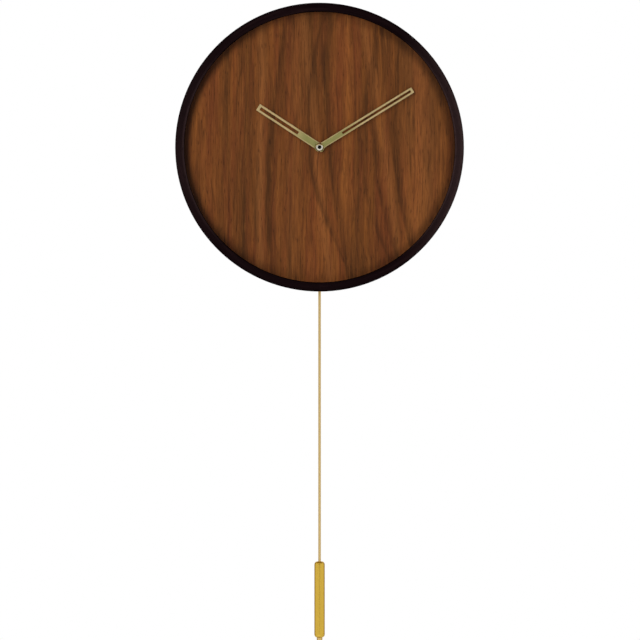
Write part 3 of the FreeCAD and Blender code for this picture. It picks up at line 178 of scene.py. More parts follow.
def dress(material, *nodes):
    """Gives CAD pieces their material in place of the plain one that they come with."""
    for name in nodes:
        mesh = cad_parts[name].data
        mesh.materials.clear()
        mesh.materials.append(material)


def stained_wood():
    made, tree, surface = new_material("stained_wood", roughness=0.4, shine=0.0)
    place = place_from_hub(tree)
    across, deep, up = split(tree, place)
    radius = distance_from_hub(tree, place)
    angle = calculate(tree, "ARCTAN2", across, up)
    along = calculate(tree, "MULTIPLY", angle, RING_RADIUS)
    unrolled = joined(tree, along, deep, radius)
    figure = drawn_out(tree, unrolled, (9, 160, 160), detail=4.0, roughness=0.6, distortion=0.6)
    pores = drawn_out(tree, unrolled, (120, 2600, 2600))

    # Painted highlight: side light caught on the rim, at the right along both edges, at the left along the
    # inner one.
    sideways = calculate(tree, "DIVIDE", across, radius)
    right_painted_light_share = spread(tree, sideways, 0.6, 1.0)
    left_painted_light_share = spread(tree, sideways, -0.7, -1.0)
    outer_edge_highlight = spread(tree, radius, RING_RADIUS - OUTER_HIGHLIGHT_WIDTH, RING_RADIUS, 0.45, 1.0)
    inner_edge_highlight = spread(tree, radius, RING_INSIDE + INNER_HIGHLIGHT_WIDTH, RING_INSIDE + INNER_HIGHLIGHT_FULL)
    right_painted_highlight = calculate(tree, "MULTIPLY", right_painted_light_share, calculate(tree, "MAXIMUM", outer_edge_highlight, inner_edge_highlight))
    left_painted_highlight = calculate(tree, "MULTIPLY", left_painted_light_share, spread(tree, inner_edge_highlight, 0.0, 1.0, 0.15, 0.7))
    wear_and_painted_highlight = calculate(tree, "MAXIMUM", right_painted_highlight, left_painted_highlight)

    wood = ramp(tree, figure, [
        (0.30, written(14, 6, 8)),
        (0.55, written(21, 11, 13)),
        (0.78, written(33, 20, 21)),
    ])
    # The painted highlight's colour is laid over the wood by the share above.
    painted_highlight_wood = blended(tree, wear_and_painted_highlight, wood, written(58, 43, 43))
    pore_share = spread(tree, pores, 0.60, 0.68)
    coloured(tree, surface, blended(tree, pore_share, painted_highlight_wood, written(9, 5, 6)))
    roughened(tree, surface, figure, 0.34, 0.46)
    sunken = calculate(tree, "MULTIPLY", pore_share, 0.8)
    bumped(tree, surface, calculate(tree, "SUBTRACT", figure, sunken), LACQUER_RELIEF)
    return made


dress(stained_wood(), "case_ring")


# The board behind the dial, the ring that it screws to and the block for the hanger are cut from birch
# plywood and left raw. Their faces show pale rotary-cut grain, and their edges the stack of thin layers.
PLY_LAYER = 1.3 * MM
PLY_LAYER_DARK_STARTS = 0.5 * MM
PLY_LAYER_DARK_FULL = 0.8 * MM
RAW_FIBRE_RELIEF = 0.05 * MM


def laid_over(tree, below, pattern, starts, full, strength, color):
    """Lays a colour over another where a pattern goes from starts to full, at most as strong as strength."""
    return blended(tree, spread(tree, pattern, starts, full, 0.0, strength), below, color)


def plywood():
    made, tree, surface = new_material("birch_plywood", roughness=0.7)
    place = place_on_object(tree)
    normal = add_node(tree, "ShaderNodeNewGeometry").outputs["Normal"]
    face_share = spread(tree, calculate(tree, "ABSOLUTE", split(tree, normal)[1]), 0.5, 0.8)
    layer = calculate(tree, "PINGPONG", split(tree, place)[1], PLY_LAYER)
    layer_share = spread(tree, layer, PLY_LAYER_DARK_STARTS, PLY_LAYER_DARK_FULL)
    upright = stretched(tree, place, (14, 14, 2.2))
    figure = noise(tree, upright, 2.0, detail=5.0, roughness=0.6, distortion=1.2)
    fibre = drawn_out(tree, place, (900, 900, 26), detail=3.0, roughness=0.6)
    face = ramp(tree, figure, [
        (0.30, written(188, 152, 104)),
        (0.55, written(208, 176, 130)),
        (0.75, written(221, 193, 150)),
    ])
    edge = blended(tree, layer_share, written(198, 164, 116), written(150, 112, 72))
    tone = blended(tree, face_share, edge, face)
    coloured(tree, surface, laid_over(tree, tone, fibre, 0.52, 0.75, 0.35, written(160, 122, 78)))
    roughened(tree, surface, fibre, 0.6, 0.8)
    bumped(tree, surface, fibre, RAW_FIBRE_RELIEF)
    return made


dress(plywood(), "dial_seat_ring", "dial_board", "hanger_block")


# Brown wood glue holds the dial's seat ring in the case. A bead of it is squeezed out along the joint when
# the ring is clamped, and fills the joint all the way round, so that no light comes past the dial's edge.
GLUE_STEPS = 360
GLUE_IN_SEAT = 0.15 * MM
GLUE_IN_CASE = 0.05 * MM
GLUE_LENGTH = 1 * MM
GLUE_RELIEF = 0.05 * MM


def new_shape_tree(name, shape, kinds):
    """A geometry tree with a shape that goes in and comes out, a finish, and more named inputs."""
    tree = bpy.data.node_groups.new(name, "GeometryNodeTree")
    tree.interface.new_socket(shape, in_out="INPUT", socket_type="NodeSocketGeometry")
    tree.interface.new_socket("Finish", in_out="INPUT", socket_type="NodeSocketMaterial")
    for label, kind in kinds:
        tree.interface.new_socket(label, in_out="INPUT", socket_type=kind)
    tree.interface.new_socket(shape, in_out="OUTPUT", socket_type="NodeSocketGeometry")
    return tree, tree.nodes.new("NodeGroupInput").outputs, tree.nodes.new("NodeGroupOutput").inputs


def closed_tree(tree, shape, given, result):
    """Ends a geometry tree: its shape comes out as one plain mesh in the piece's finish."""
    realized = add_node(tree, "GeometryNodeRealizeInstances", {0: shape}).outputs[0]
    values = {"Geometry": realized, "Material": given["Finish"]}
    finished = add_node(tree, "GeometryNodeSetMaterial", values).outputs[0]
    tree.links.new(finished, result[0])
    return tree


def shaped(name, mesh, tree, values):
    """A piece with the mesh that the tree makes of the given one. values holds the tree's inputs by name."""
    piece = bpy.data.objects.new(name, mesh)
    bpy.context.collection.objects.link(piece)
    shaping = piece.modifiers.new(name, "NODES")
    shaping.node_group = tree
    for socket in tree.interface.items_tree:
        if socket.in_out == "INPUT" and socket.name in values:
            shaping[socket.identifier] = values[socket.name]
    finished = piece.evaluated_get(bpy.context.evaluated_depsgraph_get())
    made = bpy.data.meshes.new_from_object(finished)
    piece.modifiers.clear()
    piece.data = made
    return piece


def brown_glue():
    made, tree, surface = new_material("brown_glue", roughness=0.6, shine=0.2)
    lumps = noise(tree, place_on_object(tree), 700.0, detail=3.0, roughness=0.6)
    coloured(tree, surface, blended(tree, lumps, written(20, 11, 8), written(34, 20, 13)))
    roughened(tree, surface, lumps, 0.45, 0.65)
    bumped(tree, surface, lumps, GLUE_RELIEF)
    return made


def bead_tree():
    """Sweeps a rectangle along a ring: its width lies across the joint and its length runs into it."""
    tree, given, result = new_shape_tree("glue_bead", "Ring", [
        ("Width", "NodeSocketFloat"),
        ("Length", "NodeSocketFloat"),
    ])
    ring = add_node(tree, "GeometryNodeMeshToCurve", {"Mesh": given["Ring"]}).outputs[0]
    sides = {"Width": given["Width"], "Height": given["Length"]}
    section = add_node(tree, "GeometryNodeCurvePrimitiveQuadrilateral", sides).outputs[0]
    bead = add_node(tree, "GeometryNodeCurveToMesh", {"Curve": ring, "Profile Curve": section}).outputs[0]
    return closed_tree(tree, bead, given, result)


seat_low, seat_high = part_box("dial_seat_ring")
glue_inside = seat_high[0] - GLUE_IN_SEAT
glue_outside = RING_INSIDE + GLUE_IN_CASE
glue_radius = (glue_inside + glue_outside) / 2
glue_corners = []
for step in range(GLUE_STEPS):
    angle = step * math.tau / GLUE_STEPS
    across = glue_radius * math.cos(angle)
    height = glue_radius * math.sin(angle)
    glue_corners.append((across, seat_low[1] + GLUE_LENGTH / 2, HUB_HEIGHT + height))
glue_ring = bpy.data.meshes.new("seat_glue_ring")
glue_ring.from_pydata(glue_corners, [(step, (step + 1) % GLUE_STEPS) for step in range(GLUE_STEPS)], [])
seat_glue = shaped("seat_glue", glue_ring, bead_tree(), {
    "Width": glue_outside - glue_inside,
    "Length": GLUE_LENGTH,
    "Finish": brown_glue(),
})
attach(seat_glue, "clock")


# The dial is a sheet of crown-cut American walnut, glued to the board with its grain upright and oiled.
# Straight fine streaks fill its left side and wavy ones the rest, with dark growth lines and light bands.
# A painted shadow of the rim darkens its edge, most of all at the left and the right.
GROWTH_LINES = [
    # place at the hub's level, lean, bow per metre, width, darkness
    (-59 * MM, 0.055, 0.6, 17 * MM, 0.75),
    (-12 * MM, -0.11, 1.5, 7 * MM, 0.85),
    (10 * MM, -0.106, 0.3, 12 * MM, 0.75),
    (84 * MM, -0.07, 1.1, 9 * MM, 0.80),
    (119 * MM, -0.05, 2.2, 6 * MM, 0.30),
    (47 * MM, -0.04, 1.6, 8 * MM, 0.55),
    (60 * MM, -0.10, 1.0, 7 * MM, 0.60),
    (-97 * MM, 0.01, 0.2, 7 * MM, 0.50),
    (-36 * MM, 0.16, 1.4, 6 * MM, 0.40),
]
LIGHT_BANDS = [
    # place at the hub's level, lean, half width, lightness
    (-67 * MM, 0.0, 7 * MM, 0.65),
    (-4 * MM, -0.104, 7 * MM, 0.55),
    (73 * MM, -0.15, 9 * MM, 0.50),
    (118 * MM, -0.04, 32 * MM, 0.55),
    (-28 * MM, 0.02, 14 * MM, 0.25),
]
LINE_SHARP_SIDE = 2.5 * MM
LINE_FULL = 1 * MM
STRAIGHT_LEFT_OF = -110 * MM
WAVY_RIGHT_OF = 20 * MM
SMALL_WAVE = 6 * MM
LARGE_WAVE = 18 * MM
RIPPLE = 3 * MM
# Where the painted shadow of the rim starts on the dial and where it is full.
RIM_SHADOW_STARTS = 144 * MM
RIM_SHADOW_FULL = 152 * MM
OILED_PORE_RELIEF = 0.02 * MM


def growth_line(tree, across, height, place, lean, bow, width, darkness):
    """How dark one growth line makes each point: sharp on its left and fading over its width."""
    bent = calculate(tree, "MULTIPLY_ADD", calculate(tree, "MULTIPLY", height, height), bow, place)
    middle = calculate(tree, "MULTIPLY_ADD", height, lean, bent)
    beside = calculate(tree, "SUBTRACT", across, middle)
    fading = spread(tree, beside, 0.0, width, darkness, 0.0)
    reached = spread(tree, beside, -LINE_SHARP_SIDE, LINE_FULL)
    return calculate(tree, "MULTIPLY", fading, reached)


def light_band(tree, across, height, place, lean, half_width, lightness):
    """How light one band makes each point: most at its middle and fading to both sides."""
    middle = calculate(tree, "MULTIPLY_ADD", height, lean, place)
    beside = calculate(tree, "ABSOLUTE", calculate(tree, "SUBTRACT", across, middle))
    return spread(tree, beside, 0.0, half_width, lightness, 0.0)


def wavy(tree, place, across):
    """Moves each point's place across the sheet, so that what is drawn by it waves as the fibres do."""
    drift = drawn_out(tree, place, (8, 0, 4.5), detail=3.0)
    ripple = drawn_out(tree, place, (36, 0, 20))
    waviness = spread(tree, across, STRAIGHT_LEFT_OF, WAVY_RIGHT_OF, SMALL_WAVE, LARGE_WAVE)
    shift = calculate(tree, "MULTIPLY", calculate(tree, "SUBTRACT", drift, 0.5), waviness)
    shift = calculate(tree, "MULTIPLY_ADD", calculate(tree, "SUBTRACT", ripple, 0.5), RIPPLE, shift)
    return calculate(tree, "ADD", across, shift)


def walnut_veneer():
    made, tree, surface = new_material("walnut_veneer", roughness=0.5, shine=0.1)
    place = place_from_hub(tree)
    straight, deep, height = split(tree, place)
    radius = distance_from_hub(tree, place)
    across = wavy(tree, place, straight)
    grain = joined(tree, across, deep, height)

    zones = drawn_out(tree, grain, (15, 0, 1.6), move=(3.4, 0, 0))
    bands = drawn_out(tree, grain, (50, 0, 2.2), detail=3.0, roughness=0.55)
    warmth = drawn_out(tree, grain, (75, 0, 5), detail=3.0, roughness=0.6)
    patches = drawn_out(tree, grain, (60, 0, 12), detail=3.0, roughness=0.6)
    clear_patches = drawn_out(tree, grain, (26, 0, 3))
    streaks = drawn_out(tree, grain, (270, 0, 7), detail=5.0, roughness=0.7)
    dashes = drawn_out(tree, grain, (420, 0, 26))
    fibre = drawn_out(tree, grain, (760, 0, 34), detail=3.0, roughness=0.6)
    pores = drawn_out(tree, grain, (1000, 0, 90), detail=1.0)

    tone = calculate(tree, "MULTIPLY_ADD", calculate(tree, "SUBTRACT", zones, 0.5), 0.7, bands)
    base = ramp(tree, tone, [
        (0.30, written(72, 43, 21)),
        (0.43, written(99, 58, 27)),
        (0.57, written(120, 69, 32)),
        (0.70, written(146, 87, 41)),
    ])
    warmed = laid_over(tree, base, warmth, 0.46, 0.64, 0.6, written(110, 55, 30))

    lightness = 0.0
    for band in LIGHT_BANDS:
        lightness = calculate(tree, "MAXIMUM", lightness, light_band(tree, across, height, *band))
    lightened = blended(tree, lightness, warmed, written(150, 92, 48))
    darkness = 0.0
    for line in GROWTH_LINES:
        darkness = calculate(tree, "MAXIMUM", darkness, growth_line(tree, across, height, *line))
    patchiness = spread(tree, patches, 0.36, 0.60, 0.6, 1.0)
    lined = blended(tree, calculate(tree, "MULTIPLY", darkness, patchiness), lightened, written(50, 29, 15))

    clearness = spread(tree, clear_patches, 0.38, 0.62, 0.15, 1.0)
    lit_share = calculate(tree, "MULTIPLY", spread(tree, streaks, 0.52, 0.66, 0.0, 0.5), clearness)
    lit = blended(tree, lit_share, lined, written(142, 85, 36))
    dark_share = calculate(tree, "MULTIPLY", spread(tree, streaks, 0.46, 0.33, 0.0, 0.6), clearness)
    streaked = blended(tree, dark_share, lit, written(56, 33, 14))
    dashed = laid_over(tree, streaked, dashes, 0.54, 0.70, 0.5, written(60, 35, 18))
    flecked = laid_over(tree, dashed, dashes, 0.44, 0.30, 0.45, written(140, 86, 42))
    combed = laid_over(tree, flecked, fibre, 0.42, 0.66, 0.36, written(58, 33, 17))
    pore_share = spread(tree, pores, 0.60, 0.72, 0.0, 0.6)
    porous = blended(tree, pore_share, combed, written(40, 23, 13))

    # Painted shadow: the rim's shadow on the dial's edge, strongest at the left, a little weaker at the
    # right.
    sideways = calculate(tree, "DIVIDE", straight, radius)
    left_painted_light_share = spread(tree, sideways, -0.2, -1.0, 0.1, 1.0)
    right_painted_light_share = spread(tree, sideways, 0.2, 1.0, 0.1, 0.72)
    painted_shadow_side_share = calculate(tree, "MAXIMUM", left_painted_light_share, right_painted_light_share)
    edge_painted_light_share = spread(tree, radius, RIM_SHADOW_STARTS, RIM_SHADOW_FULL, 0.0, 0.8)
    painted_rim_shadow_share = calculate(tree, "MULTIPLY", edge_painted_light_share, painted_shadow_side_share)
    coloured(tree, surface, blended(tree, painted_rim_shadow_share, porous, written(14, 8, 7)))
    roughened(tree, surface, streaks, 0.42, 0.58)
    bumped(tree, surface, calculate(tree, "SUBTRACT", fibre, pore_share), OILED_PORE_RELIEF)
    return made


dress(walnut_veneer(), "dial_veneer")


# The keyhole plate, the pendulum's pin and its clip, the battery's contacts and the quartz's can are steel,
# stamped, drawn or bent and then plated with zinc. The plating is bluish grey and a little cloudy.
PLATING_RELIEF = 0.01 * MM


def zinc_plate():
    made, tree, surface = new_material("zinc_plated_steel", metallic=1.0, roughness=0.35)
    place = place_on_object(tree)
    clouds = noise(tree, place, 260.0, detail=4.0, roughness=0.6)
    scratches = drawn_out(tree, place, (500, 9000, 9000))
    tone = blended(tree, clouds, written(168, 172, 176), written(205, 207, 206))
    coloured(tree, surface, laid_over(tree, tone, scratches, 0.6, 0.8, 0.3, written(140, 143, 148)))
    roughened(tree, surface, clouds, 0.26, 0.45)
    bumped(tree, surface, scratches, PLATING_RELIEF)
    return made


zinc_plated = zinc_plate()
dress(zinc_plated, "hanger_plate", "pivot_pin", "pivot_clip", "contact_positive", "contact_negative",
      "quartz_can")


# The dial, the movement, its cover and the keyhole plate are held by plated steel screws. Every screw takes
# a cross-head driver: the recess is punched in its head, and each screw came to rest at its own turn.
LARGE_CROSS = 3.4 * MM
LARGE_CROSS_DEPTH = 1.1 * MM
SMALL_CROSS = 2.2 * MM
SMALL_CROSS_DEPTH = 0.7 * MM
ARM_WIDTH_SHARE = 0.24
DIAL_SCREW_COUNT = 6
DIAL_SCREW_CIRCLE = 150.5 * MM
DIAL_SCREW_TOP = -16.6 * MM
MOVEMENT_SCREW_ASIDE = 32 * MM
MOVEMENT_SCREW_HEIGHTS = (-144 * MM, -66 * MM)
MOVEMENT_SCREW_TOP = -26.6 * MM
COVER_SCREWS_ASIDE_AND_HEIGHT = ((22.3 * MM, -137.5 * MM), (24.6 * MM, -55.4 * MM))
COVER_SCREW_TOP = -13.2 * MM
HANGER_SCREW_ASIDE = 20 * MM
SAME_POINT = 0.001 * MM
LEFT_AND_RIGHT = (-1, 1)


def merged_copy(node):
    """A copy of a CAD piece's mesh with its loose triangles joined."""
    copied = bmesh.new()
    copied.from_mesh(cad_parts[node].data)
    bmesh.ops.remove_doubles(copied, verts=copied.verts, dist=SAME_POINT)
    mesh = bpy.data.meshes.new(node)
    copied.to_mesh(mesh)
    copied.free()
    return mesh


def recess_tree():
    """Cuts a cross out of the screws at each mark. Two bars make the cross, and each turns at random."""
    tree, given, result = new_shape_tree("cross_recesses", "Screws", [
        ("Marks", "NodeSocketObject"),
        ("Arm length", "NodeSocketFloat"),
        ("Arm width", "NodeSocketFloat"),
        ("Depth", "NodeSocketFloat"),
        ("Seed", "NodeSocketInt"),
    ])
    marks = add_node(tree, "GeometryNodeObjectInfo", {"Object": given["Marks"]}).outputs["Geometry"]
    thickness = calculate(tree, "MULTIPLY", given["Depth"], 2.0)
    arms = tree.nodes.new("GeometryNodeJoinGeometry")
    for across, along in (("Arm length", "Arm width"), ("Arm width", "Arm length")):
        size = joined(tree, given[across], thickness, given[along])
        arm = add_node(tree, "GeometryNodeMeshCube", {"Size": size}).outputs["Mesh"]
        tree.links.new(arm, arms.inputs[0])
    limits = {2: 0.0, 3: math.pi / 2, "Seed": given["Seed"]}
    turn = add_node(tree, "FunctionNodeRandomValue", limits).outputs[1]
    about_axis = joined(tree, 0.0, turn, 0.0)
    rotation = add_node(tree, "FunctionNodeEulerToRotation", {0: about_axis}).outputs[0]
    crosses = {"Points": marks, "Instance": arms.outputs[0], "Rotation": rotation}
    punches = add_node(tree, "GeometryNodeInstanceOnPoints", crosses).outputs[0]
    solid_punches = add_node(tree, "GeometryNodeRealizeInstances", {0: punches}).outputs[0]
    cut = {"Mesh 1": given["Screws"], "Mesh 2": solid_punches, "Self Intersection": True}
    cutter = add_node(tree, "GeometryNodeMeshBoolean", cut, operation="DIFFERENCE", solver="EXACT")
    return closed_tree(tree, cutter.outputs[0], given, result)


cross_recesses = recess_tree()


def punched_screws(node, places, arm_length, depth):
    """Screws with a cross punched at each place, which is the middle of a head's top."""
    marks_mesh = bpy.data.meshes.new(node + "_marks")
    marks_mesh.from_pydata(places, [], [])
    marks = bpy.data.objects.new(node + "_marks", marks_mesh)
    bpy.context.collection.objects.link(marks)
    piece = shaped(node + "_cross_headed", merged_copy(node), cross_recesses, {
        "Marks": marks,
        "Arm length": arm_length,
        "Arm width": ARM_WIDTH_SHARE * arm_length,
        "Depth": depth,
        "Seed": len(places),
        "Finish": zinc_plated,
    })
    bpy.data.objects.remove(marks)
    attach(piece, "clock")
    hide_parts(node)


dial_screw_places = []
for step in range(DIAL_SCREW_COUNT):
    angle = step * math.tau / DIAL_SCREW_COUNT
    across = DIAL_SCREW_CIRCLE * math.cos(angle)
    height = DIAL_SCREW_CIRCLE * math.sin(angle)
    dial_screw_places.append((across, DIAL_SCREW_TOP, HUB_HEIGHT + height))
punched_screws("dial_screws", dial_screw_places, LARGE_CROSS, LARGE_CROSS_DEPTH)

movement_screw_places = []
for side in LEFT_AND_RIGHT:
    for height in MOVEMENT_SCREW_HEIGHTS:
        movement_screw_places.append((side * MOVEMENT_SCREW_ASIDE, MOVEMENT_SCREW_TOP, height))
punched_screws("movement_screws", movement_screw_places, LARGE_CROSS, LARGE_CROSS_DEPTH)

cover_screw_places = []
for aside, height in COVER_SCREWS_ASIDE_AND_HEIGHT:
    for side in LEFT_AND_RIGHT:
        cover_screw_places.append((side * aside, COVER_SCREW_TOP, height))
punched_screws("cover_screws", cover_screw_places, SMALL_CROSS, SMALL_CROSS_DEPTH)

hanger_screw_places = [(side * HANGER_SCREW_ASIDE, 0, 0) for side in LEFT_AND_RIGHT]
punched_screws("hanger_screws", hanger_screw_places, LARGE_CROSS, LARGE_CROSS_DEPTH)


# The pads that rest on the wall are pressed grey felt. They are cut as discs and stick to the back of the
# case by a film of glue.
FELT_RELIEF = 0.25 * MM


def felt():
    made, tree, surface = new_material("grey_felt", roughness=0.95)
    surface.inputs["Sheen Weight"].default_value = 0.35
    fibres = noise(tree, place_on_object(tree), 1800.0, detail=5.0, roughness=0.7, distortion=2.0)
    coloured(tree, surface, ramp(tree, fibres, [(0.3, written(52, 50, 50)), (0.7, written(96, 93, 90))]))
    bumped(tree, surface, fibres, FELT_RELIEF)
    return made


dress(felt(), "wall_bumpers")


# The movement's case, cover, bridge and knob and the pendulum's lever are moulded in black plastic,
# with a fine spark-eroded grain on their faces.
SPARK_GRAIN_RELIEF = 0.03 * MM


def moulded_plastic(name, dark, light, smooth, rough, relief):
    made, tree, surface = new_material(name, roughness=rough)
    place = place_on_object(tree)
    grain = noise(tree, place, 3200.0, detail=2.0, roughness=0.6)
    flow = noise(tree, place, 34.0, detail=3.0, roughness=0.5, distortion=0.8)
    coloured(tree, surface, blended(tree, flow, dark, light))
    roughened(tree, surface, grain, smooth, rough)
    bumped(tree, surface, grain, relief)
    return made


black_plastic = moulded_plastic("black_plastic", written(30, 30, 32), written(40, 40, 42), 0.42, 0.6,
                                SPARK_GRAIN_RELIEF)
dress(black_plastic, "movement_case", "movement_cover", "train_bridge", "setting_knob", "pendulum_lever")


# The wheels, pinions and bobbins inside are moulded in slippery white acetal, in polished moulds, so their
# teeth run without oil.
POLISHED_MOULD_RELIEF = 0.008 * MM
white_acetal = moulded_plastic("white_acetal", written(222, 221, 214), written(234, 233, 228), 0.3, 0.42,
                               POLISHED_MOULD_RELIEF)
dress(white_acetal, "hour_wheel", "intermediate_wheel", "setting_pinion", "centre_wheel", "third_wheel",
      "second_wheel", "step_wheel", "rotor_pinion", "coil_bobbin", "drive_coil_bobbin")


# The motor's core and stator are stamped soft iron. Its magnet and the pendulum's are ground from sintered
# ferrite, which is nearly black.
GROUND_RELIEF = 0.01 * MM


def dull_metal(name, dark, light, metallic, smooth, rough):
    made, tree, surface = new_material(name, metallic=metallic, roughness=rough)
    clouds = noise(tree, place_on_object(tree), 420.0, detail=4.0, roughness=0.65)
    coloured(tree, surface, blended(tree, clouds, dark, light))
    roughened(tree, surface, clouds, smooth, rough)
    bumped(tree, surface, clouds, GROUND_RELIEF)
    return made


soft_iron = dull_metal("soft_iron", written(112, 110, 108), written(142, 141, 139), 1.0, 0.35, 0.5)
dress(soft_iron, "stator", "coil_core")
ferrite = dull_metal("ferrite", written(44, 44, 46), written(62, 62, 64), 0.3, 0.4, 0.55)
dress(ferrite, "rotor_magnet", "pendulum_magnet")


# The motor's coil and the one that pushes the pendulum are wound with copper wire in clear enamel, which
# shows as fine rings on their sides. The first is wound from left to right, the second from front to back.
WIRE = 0.12 * MM
WIRE_RELIEF = 0.06 * MM
LEFT_TO_RIGHT = 0
FRONT_TO_BACK = 1


def wound_copper(name, direction):
    made, tree, surface = new_material(name, metallic=1.0, roughness=0.32, coat=0.5)
    along = split(tree, place_on_object(tree))[direction]
    height = spread(tree, calculate(tree, "PINGPONG", along, WIRE), 0.0, WIRE)
    coloured(tree, surface, blended(tree, height, written(112, 52, 28), written(200, 112, 68)))
    bumped(tree, surface, height, WIRE_RELIEF)
    return made


dress(wound_copper("motor_coil_copper", LEFT_TO_RIGHT), "coil_winding")
dress(wound_copper("drive_coil_copper", FRONT_TO_BACK), "drive_coil_winding")


# The circuit is a strip of glass fibre board under green solder mask. Its one chip is bonded to it and
# covered with a drop of matt black resin.
WEAVE_RELIEF = 0.01 * MM
RESIN_RELIEF = 0.01 * MM


def circuit_resin():
    made, tree, surface = new_material("solder_mask", roughness=0.35, coat=0.4)
    weave = noise(tree, place_on_object(tree), 900.0)
    coloured(tree, surface, blended(tree, weave, written(22, 78, 46), written(32, 100, 60)))
    bumped(tree, surface, weave, WEAVE_RELIEF)
    return made


dress(circuit_resin(), "circuit_board")
chip_resin = moulded_plastic("chip_resin", written(24, 24, 25), written(34, 34, 35), 0.5, 0.7, RESIN_RELIEF)
dress(chip_resin, "circuit_chip")


# One AA cell lies across the foot of the movement. Its sleeve is plain glossy film, green with a copper
# band at the positive end, and both ends of the steel can are bare.
FILM_RELIEF = 0.01 * MM


def battery_sleeve():
    made, tree, surface = new_material("battery_sleeve", roughness=0.28, coat=0.5)
    cell_low, cell_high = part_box("battery")
    place = place_on_object(tree)
    share = spread(tree, split(tree, place)[0], cell_low[0], cell_high[0])
    sleeve = ramp(tree, share, [
        (0.0, written(186, 188, 190)),
        (0.025, written(28, 84, 62)),
        (0.74, written(176, 112, 60)),
        (0.955, written(190, 192, 194)),
    ])
    sleeve.node.color_ramp.interpolation = "CONSTANT"
    wear_and_painted_highlight = noise(tree, place, 700.0, detail=3.0, roughness=0.6)
    coloured(tree, surface, laid_over(tree, sleeve, wear_and_painted_highlight, 0.6, 0.8, 0.2, written(210, 210, 205)))
    bumped(tree, surface, wear_and_painted_highlight, FILM_RELIEF)
    return made


dress(battery_sleeve(), "battery")


# The minute arbor and the collets, which the hands are riveted to, are turned from brass bar. The spring
# that lets the hands be set is rolled brass.
TURNED_GROOVE = 0.0008 * MM


def plain_brass(name, color, tarnish, smooth, rough, groove):
    made, tree, surface = new_material(name, metallic=1.0, roughness=rough)
    place = place_on_object(tree)
    clouds = drawn_out(tree, place, (160, 160, 24), detail=4.0, roughness=0.6)
    lines = drawn_out(tree, place, (900, 900, 40))
    coloured(tree, surface, laid_over(tree, color, clouds, 0.45, 0.75, 0.45, tarnish))
    roughened(tree, surface, lines, smooth, rough)
    bumped(tree, surface, lines, groove)
    return made


turned_brass = plain_brass("turned_brass", written(214, 184, 120), written(178, 150, 92), 0.22, 0.34,
                           TURNED_GROOVE)
dress(turned_brass, "minute_arbor", "clutch_spring", "hour_hand_collet", "minute_hand_collet")


# Both hands are cut from thin brass sheet, brushed along their length and lacquered, and press on their
# tubes by their collets. The sheet is darker and greener towards the hub, and a painted highlight lies pale
# along its edges.
OLIVE_BRASS = written(188, 183, 116)
PALE_BRASS = written(246, 219, 160)
MINUTE_ANGLE = 58.4
MINUTE_REACH = 125 * MM
MINUTE_WIDTH = 6.9 * MM
HOUR_ANGLE = 303.1
HOUR_REACH = 84 * MM
HOUR_WIDTH = 8.3 * MM
OLIVE_UP_TO = 0.22
PALE_FROM = 0.45
# Width of the painted highlight along each edge of a hand.
EDGE_HIGHLIGHT_STARTS = 1.4 * MM
EDGE_HIGHLIGHT_FULL = 0.7 * MM
BRUSHED_RELIEF = 0.012 * MM


def hand_brass(name, clockwise, reach, width):
    made, tree, surface = new_material(name, metallic=1.0, roughness=0.34)
    upright = stretched(tree, place_from_hub(tree), turn=(0, -math.radians(clockwise), 0))
    parts = split(tree, upright)
    from_middle = calculate(tree, "ABSOLUTE", parts[0])
    # Painted highlight: a pale line along both edges of the hand.
    edge_painted_light_share = spread(tree, from_middle, width / 2 - EDGE_HIGHLIGHT_STARTS, width / 2 - EDGE_HIGHLIGHT_FULL, 0.0, 0.7)
    outer_share = spread(tree, parts[2], OLIVE_UP_TO * reach, PALE_FROM * reach)
    tone = blended(tree, calculate(tree, "MAXIMUM", outer_share, edge_painted_light_share), OLIVE_BRASS, PALE_BRASS)
    brushing = drawn_out(tree, upright, (5200, 5200, 90), detail=3.0, roughness=0.6)
    clouds = noise(tree, upright, 140.0, detail=3.0)
    coloured(tree, surface, laid_over(tree, tone, clouds, 0.4, 0.7, 0.25, OLIVE_BRASS))
    roughened(tree, surface, brushing, 0.26, 0.42)
    bumped(tree, surface, brushing, BRUSHED_RELIEF)
    return made


dress(hand_brass("minute_hand_brass", MINUTE_ANGLE, MINUTE_REACH, MINUTE_WIDTH), "minute_hand")
dress(hand_brass("hour_hand_brass", HOUR_ANGLE, HOUR_REACH, HOUR_WIDTH), "hour_hand")


# A small domed nut closes the minute arbor in front of the hands. It is turned from brass, nickel-plated
# and polished until the room shows in it.
POLISHED_RELIEF = 0.002 * MM


def nickel():
    made, tree, surface = new_material("polished_nickel", metallic=1.0, roughness=0.08)
    smears = noise(tree, place_on_object(tree), 900.0, detail=3.0, roughness=0.6)
    coloured(tree, surface, blended(tree, smears, written(192, 188, 172), written(208, 205, 190)))
    roughened(tree, surface, smears, 0.05, 0.14)
    bumped(tree, surface, smears, POLISHED_RELIEF)
    return made


dress(nickel(), "cap_nut")


# The pendulum's rod is drawn brass wire with a soft shine. A bent brass strip at its upper end hooks it on
# the lever that the movement swings.
DRAWN_GROOVE = 0.0001 * MM
rod_brass = plain_brass("rod_brass", written(212, 184, 124), written(206, 178, 118), 0.32, 0.36, DRAWN_GROOVE)
dress(rod_brass, "pendulum_rod", "rod_hanger")


# The bob is a solid bar of polished yellow brass, turned with rounded ends and bored for the rod. It slides
# on the rod and rests on the nut below it.
BOB_GROOVE = 0.0002 * MM
bob_brass = plain_brass("bob_brass", written(207, 171, 68), written(203, 167, 66), 0.20, 0.26, BOB_GROOVE)
dress(bob_brass, "pendulum_bob")


# The small nut under the bob sets its height. It is turned brass, ribbed round its edge for the fingers,
# with both its ends eased.
RIB_COUNT = 30
RIB_HEIGHT = 0.22 * MM
NUT_STATIONS = 25
EASED_END_SHARE = 0.12
EASED_END_RADIUS = 0.84


